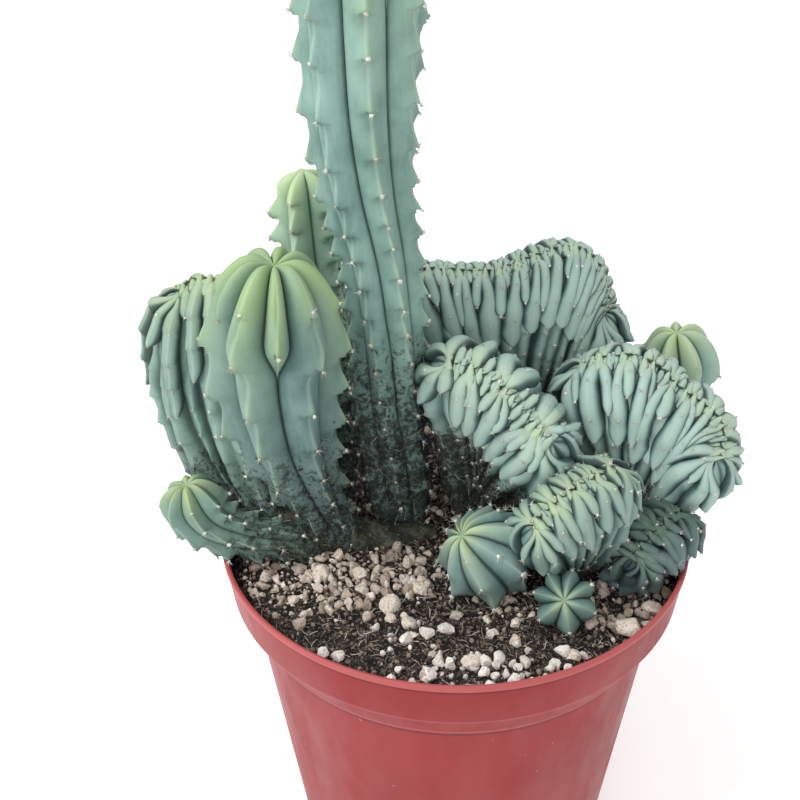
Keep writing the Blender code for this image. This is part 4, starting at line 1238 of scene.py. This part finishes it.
fan(
    "small_crest", (0.0365, -0.0165, 0.0065),
    ((0.0295, -0.0265, 0.139), (0.036, -0.0252, 0.140), (0.0418, -0.0230, 0.142)),
    (
        (0.0235, -0.0325, 0.147), (0.029, -0.0305, 0.153), (0.035, -0.0275, 0.1565),
        (0.041, -0.0245, 0.158), (0.0460, -0.0210, 0.160),
    ),
    thickness=(0.0068, 0.0080, 0.0075), stars=(0.0, 0.30, 0.52, 0.75, 1.0),
    surface=SHADOWED_CREST_SKIN, slot="crest_skin", seed=8, reach=(0.007, 0.015), finger_gap=0.0038, widest=0.003,
)
fan(
    "under_crest", (0.054, -0.018, 0.0060),
    ((0.0565, -0.0225, 0.130), (0.062, -0.018, 0.131), (0.0660, -0.015, 0.1315)),
    (
        (0.0545, -0.0275, 0.1320), (0.0580, -0.0240, 0.1365), (0.0635, -0.0190, 0.1385),
        (0.0685, -0.0135, 0.1380),
    ),
    thickness=(0.0068, 0.0074, 0.0066), stars=(0.06, 0.5, 0.94),
    surface=SHADED_SKIN, slot="shaded_skin", seed=31, reach=(0.005, 0.011), finger_gap=0.0034,
    finger_height=0.0040, youth=0.0028,
)
left_stem = fan(
    "left_stem", (-0.054, -0.002, 0.0060),
    ((-0.0905, 0.008, 0.155), (-0.0840, 0.007, 0.151), (-0.0700, 0.003, 0.145)),
    ((-0.0822, 0.006, 0.202), (-0.0770, 0.007, 0.2045), (-0.0700, 0.006, 0.205)),
    thickness=(0.0085, 0.0085, 0.0080), stars=(0.0, 0.22, 0.44, 0.66, 0.88),
    surface=LEFT_SKIN, slot="stem_skin", seed=3, reach=(0.008, 0.038), finger_gap=0.0047, long_gap=0.0068,
    finger_height=0.0042, widest=0.0026, youth=0.009, grime=(0.05, 0.56), hook=0.05, nub=0.30,
)

# The round offsets and the short stem behind the right fan: young stems with few, deep ribs.
SHORT_SKIN = cactus_skin(
    "short_skin", (0.125, 0.235, 0.210), (0.43, 0.54, 0.26), (0.240, 0.385, 0.345), (0.040, 0.040, 0.030),
    crest_highlight=0.22, top_highlight=0.25, groove_shade_width=0.30, groove_shade_strength=0.85,
)
STAR_SKIN = cactus_skin(
    "star_skin", (0.092, 0.178, 0.168), (0.42, 0.51, 0.25), (0.172, 0.288, 0.270), (0.040, 0.040, 0.030),
    crest_highlight=0.14, top_highlight=0.25, groove_shade_width=0.30, groove_shade_strength=0.9,
)
TINY_SKIN = cactus_skin(
    "tiny_skin", (0.052, 0.112, 0.104), (0.24, 0.33, 0.18), (0.098, 0.186, 0.162), (0.030, 0.034, 0.030),
    crest_highlight=0.10, top_highlight=0.18, groove_shade_width=0.30, groove_shade_strength=0.9,
)
stem(
    "rear_right_stem", (0.053, 0.033, 0.0055),
    (
        (0.0560, 0.0345, 0.134, 0.0090), (0.0665, 0.0370, 0.149, 0.0125), (0.0735, 0.0380, 0.162, 0.0145),
        (0.0722, 0.0375, 0.1745, 0.0140),
    ),
    births=(-1,) * 7, turns=(20.0, 20.0), marks=(0.0075, 0.017, 0.028, 0.039, 0.050),
    groove=0.62, tooth=0.0014, dome=0.016, surface=SHORT_SKIN, slot="crest_skin", youth=0.012,
    young_roundness=1.7, puff=0.0015, dimple=0.001, cushion_size=0.9,
)
stem(
    "star_offset", (0.0125, -0.0225, 0.0060),
    (
        (0.0120, -0.0245, 0.1265, 0.0130), (0.0095, -0.0275, 0.1325, 0.0152),
        (0.0055, -0.0300, 0.1385, 0.0140), (0.0020, -0.0315, 0.1430, 0.0105),
    ),
    births=(-1, -1, -1, 0.001, 0.001, 0.001, 0.001, 0.001, -1, -1), turns=(-4.0, -10.0), slim=0.5,
    marks=(0.0035, 0.009, 0.017, 0.027), groove=0.78, tooth=0.0026, dome=0.014, surface=STAR_SKIN,
    slot="crest_skin", youth=0.0034, grime=0.006, roundness=1.0, young_roundness=1.3, puff=0.0012,
    dimple=0.001, cushion_size=1.0,
)
stem(
    "tiny_offset", (0.0330, -0.0385, 0.0038),
    (
        (0.0329, -0.0405, 0.1255, 0.0090), (0.0324, -0.0435, 0.1285, 0.0106),
        (0.0318, -0.0462, 0.1312, 0.0094),
    ),
    births=(-1, -1, 0.001, 0.001, 0.001, 0.001, -1), turns=(0.0, 0.0), slim=0.72,
    marks=(0.0035, 0.0085, 0.014), phases=(0.0,) * 7, groove=0.63, tooth=0.0025, dome=0.007,
    surface=TINY_SKIN, slot="shaded_skin", youth=0.0009, grime=0.012, roundness=1.0, young_roundness=1.1,
    puff=0.0005, dimple=0.0006, cushion_size=0.85,
)

# The old foot that the left-hand stems share: a low corky swelling of flattened rings, brown with
# age, that lies on the mix in front of their necks.
BASE_RINGS = 60
BASE_SIDES = 48
# The swelling's line: (x, y, z, radius).
BASE_LINE = (
    (-0.067, -0.0100, 0.1190, 0.0030), (-0.057, -0.0085, 0.1225, 0.0078),
    (-0.046, -0.0060, 0.1236, 0.0094), (-0.035, -0.0052, 0.1215, 0.0070),
    (-0.024, -0.0050, 0.1200, 0.0054), (-0.013, -0.0035, 0.1198, 0.0048),
    (-0.0055, 0.0000, 0.1190, 0.0030),
)


def corky_base(surface):
    """The swelling: rings along its line with soft lumps and folds, closed at both ends."""
    shares = 0.5 - 0.5 * np.cos(np.linspace(0.0, math.pi, BASE_RINGS))
    line = smooth_curve(BASE_LINE, shares)[0]
    along = unit(np.gradient(line[:, :3], axis=0))
    side = unit(np.cross(along, (0.0, 0.0, 1.0)))
    upward = np.cross(side, along)
    turn = 2 * math.pi * np.arange(BASE_SIDES) / BASE_SIDES
    far = shares[:, None]
    lumps = 1 + 0.07 * np.sin(5 * turn + 55 * far) + 0.06 * np.sin(3 * turn - 90 * far)
    lumps += 0.05 * np.sin(9 * turn + 37 * far) * np.sin(160 * far)
    size = line[:, 3:4] * lumps * np.sin(np.linspace(0.12, math.pi - 0.12, BASE_RINGS))[:, None] ** 0.35
    rings = line[:, None, :3] + (size * np.cos(turn))[..., None] * side[:, None]
    rings += (size * np.sin(turn))[..., None] * upward[:, None]
    traits = {
        "youth": np.zeros_like(size),
        "ridge": 0.55 + 0.35 * np.sin(4 * turn + 120 * far),
        "grime": 0.70 + 0.3 * np.sin(2 * turn + 31 * far),
        "tint": np.sin(23 * far + turn),
    }
    return skin_mesh("woody_base", rings, line[0, :3], line[-1, :3], traits, surface)


woody_base = corky_base(cactus_skin(
    "woody_skin", (0.072, 0.080, 0.044), (0.20, 0.22, 0.10), (0.150, 0.160, 0.092), (0.030, 0.026, 0.018),
    crest_highlight=0.05, top_highlight=0.10,
))
seat(woody_base, "stem_skin")

# What has stuck to the old skin: crumbs of peat and thin pale root hairs, thick on the foot of the
# stems and ever fewer upwards. They cling to the stems, so they ride with them.
LEAST_GRIME = 0.06


def soiled_skin():
    """The dirty parts of the dirty pieces as one mesh that keeps its measure of grime."""
    points, faces, dirt = [], [], []
    for piece in (front_stem, left_stem, low_offset, middle_crest, rear_stem, tall_stem, woody_base):
        grime = trait_of(piece.data, "grime")
        dirty = [face.vertices for face in piece.data.polygons if grime[face.vertices[0]] > LEAST_GRIME]
        faces += [tuple(len(points) + corner for corner in face) for face in dirty]
        points += [v.co[:] for v in piece.data.vertices]
        dirt += grime.tolist()
    return mesh_of("soiled_skin", points, faces=faces, grime=np.array(dirt) ** 1.4)


from_shapes(
    "stuck_peat", "stem_skin", soiled_skin(), strewn_tree("grime"),
    [stone(f"clod_{k}", 400 + k, 1, 0.3, 0.6) for k in range(4)],
    Density=180000.0, Spacing=0.0009, Smallest=0.0002, Largest=0.0010, Tumble=3.1, Lift=0.0, Seed=12,
    Surface=grit("stuck_peat", (0.012, 0.010, 0.007), (0.15, 0.115, 0.08), 0.95, (0.01, 0.008, 0.006)),
)
from_shapes(
    "root_hairs", "stem_skin", soiled_skin(), strewn_tree("grime"),
    [fibre(f"hair_{k}", 500 + k, 7, 0.011) for k in range(6)],
    Density=40000.0, Spacing=0.0016, Smallest=0.0025, Largest=0.0090, Tumble=3.1, Lift=0.0, Seed=21,
    Surface=grit("root_hair", (0.32, 0.31, 0.24), (0.80, 0.80, 0.70), 0.8, (0.25, 0.22, 0.16)),
)

# The cushions and spines: each tooth and finger tip has a small felted cushion of pale wool, with
# short stiff spines that spread from it. They grow on the ribs, so they ride with the stems.


def planted_tree(label):
    """Geometry Nodes: one of several shapes stands on each point, along that point's own aim."""
    tree, given = geometry_tree(
        "planted_" + label, Shapes="Collection", Size="Float", Sink="Float", Seed="Int"
    )
    aim = named(tree, "aim", "FLOAT_VECTOR")
    size = times(tree, named(tree, "size"), random_value(tree, 0.75, 1.2, given["Seed"]))
    size = times(tree, size, given["Size"])
    drop = {0: aim, "Scale": times(tree, size, given["Sink"])}
    points = wire(tree, "GeometryNodeMeshToPoints", {"Mesh": given["Geometry"], "Radius": 0.0001})
    sunk = wire(
        tree, "GeometryNodeSetPosition",
        {"Geometry": points, "Offset": wire(tree, "ShaderNodeVectorMath", drop, operation="SCALE")},
    )
    stood = wire(tree, "FunctionNodeAlignRotationToVector", {"Vector": aim}, axis="Z")
    spin = wire(tree, "ShaderNodeCombineXYZ", {"Z": random_value(tree, 0.0, 6.283, 8)})
    turned = wire(
        tree, "FunctionNodeRotateRotation",
        {"Rotation": stood, "Rotate By": wire(tree, "FunctionNodeEulerToRotation", {0: spin})},
        rotation_space="LOCAL",
    )
    return with_copies(tree, given, sunk, turned, size, 5)


def spine_tuft(name, seed, count):
    """Spines that spread from a cushion, the longest about one unit: three-sided tapered needles."""
    chance = np.random.RandomState(seed)
    points, faces = [], []
    for k in range(count):
        turn = 2 * math.pi * (k + chance.uniform(-0.25, 0.25)) / count
        lean = chance.uniform(0.75, 1.25) if k else 0.15
        aim = np.array((math.sin(lean) * math.cos(turn), math.sin(lean) * math.sin(turn), math.cos(lean)))
        side = unit(np.cross(aim, (0.3, 0.5, 0.8)))
        other = np.cross(aim, side)
        start = len(points)
        for angle in THIRDS:
            points.append(0.075 * (math.cos(angle) * side + math.sin(angle) * other) - 0.05 * aim)
        points.append(aim * chance.uniform(0.55, 1.0))
        faces.append((start, start + 2, start + 1))
        faces += [(start + i, start + (i + 1) % 3, start + 3) for i in range(3)]
    return mesh_of(name, np.array(points).tolist(), faces=faces)


places, aims, cushion_sizes = (np.array(values) for values in zip(*cushions))
from_shapes(
    "spines", "crest_skin", mesh_of("spine_points", places.tolist(), aim=aims, size=cushion_sizes),
    planted_tree("spines"), [spine_tuft(f"tuft_{k}", 200 + k, 5 + k % 3) for k in range(5)],
    Size=0.0027, Sink=0.0, Seed=3,
    Surface=grit("spine_horn", (0.30, 0.25, 0.18), (0.93, 0.91, 0.84), 0.5, (0.16, 0.12, 0.08)),
)
from_shapes(
    "cushion_wool", "crest_skin", mesh_of("wool_points", places.tolist(), aim=aims, size=cushion_sizes),
    planted_tree("wool"), [stone(f"wool_{k}", 300 + k, 1, 0.18, 0.7) for k in range(3)],
    Size=0.00095, Sink=-0.1, Seed=7,
    Surface=grit("wool_felt", (0.58, 0.60, 0.50), (0.93, 0.93, 0.88), 0.95, (0.42, 0.40, 0.30)),
)

# The floor, the soft lights and the camera, which looks down on the plant from in front.
CAMERA_PLACE = (0.0, -0.2940, 0.3501)
# Left or right, down, and round the line of sight, in degrees.
CAMERA_TURN = (-3.27, 31.51, -1.04)
CAMERA_LENS = 50.9

floor_mesh = mesh_of("floor", [(-4, -4, 0), (4, -4, 0), (4, 4, 0), (-4, 4, 0)], faces=[(0, 1, 2, 3)])
paper, tree = material("floor_paper")
shader = tree.nodes["Principled BSDF"].inputs
pale = painted(tree, (0.90, 0.90, 0.895), (patches(tree, 3.0, 2.0, 0.3, 0.7), (0.93, 0.93, 0.925)))
tree.links.new(pale, shader["Base Color"])
shader["Roughness"].default_value = 0.9
shader["Emission Color"].default_value = (1.0, 1.0, 1.0, 1.0)
shader["Emission Strength"].default_value = 0.33
floor_mesh.materials.append(paper)
shown("floor", floor_mesh)


def soft_light(name, place, aim, size, power):
    """A square area light that points at a place."""
    lamp = bpy.data.lights.new(name, "AREA")
    lamp.size = size
    lamp.energy = power
    made = shown(name, lamp)
    made.location = place
    made.rotation_mode = "QUATERNION"
    made.rotation_quaternion = (Vector(aim) - Vector(place)).to_track_quat("-Z", "Y")


soft_light("key_light", (-0.7, -0.25, 0.95), (0.0, 0.0, 0.12), 0.7, 8.5)
soft_light("front_light", (-0.05, -1.0, 0.80), (0.0, 0.0, 0.14), 1.0, 3.0)
soft_light("back_light", (0.5, 0.8, 0.9), (0.0, 0.0, 0.15), 0.8, 3.0)
world = bpy.data.worlds.new("studio")
bpy.context.scene.world = world
world.use_nodes = True
world.node_tree.nodes["Background"].inputs[0].default_value = (1.0, 1.0, 1.0, 1.0)
world.node_tree.nodes["Background"].inputs[1].default_value = 0.62
bpy.context.scene.view_settings.view_transform = "Standard"

yaw, pitch, roll = (math.radians(angle) for angle in CAMERA_TURN)
ahead = Vector((math.sin(yaw) * math.cos(pitch), math.cos(yaw) * math.cos(pitch), -math.sin(pitch)))
level = ahead.cross(Vector((0.0, 0.0, 1.0))).normalized()
upright = level.cross(ahead)
level, upright = (
    math.cos(roll) * level + math.sin(roll) * upright,
    math.cos(roll) * upright - math.sin(roll) * level,
)
camera = shown("camera", bpy.data.cameras.new("camera"))
turned = Matrix((level, upright, -ahead)).transposed().to_4x4()
camera.matrix_world = Matrix.Translation(CAMERA_PLACE) @ turned
camera.data.lens = CAMERA_LENS
camera.data.sensor_width = 36.0
camera.data.clip_start = 0.01
bpy.context.scene.camera = camera
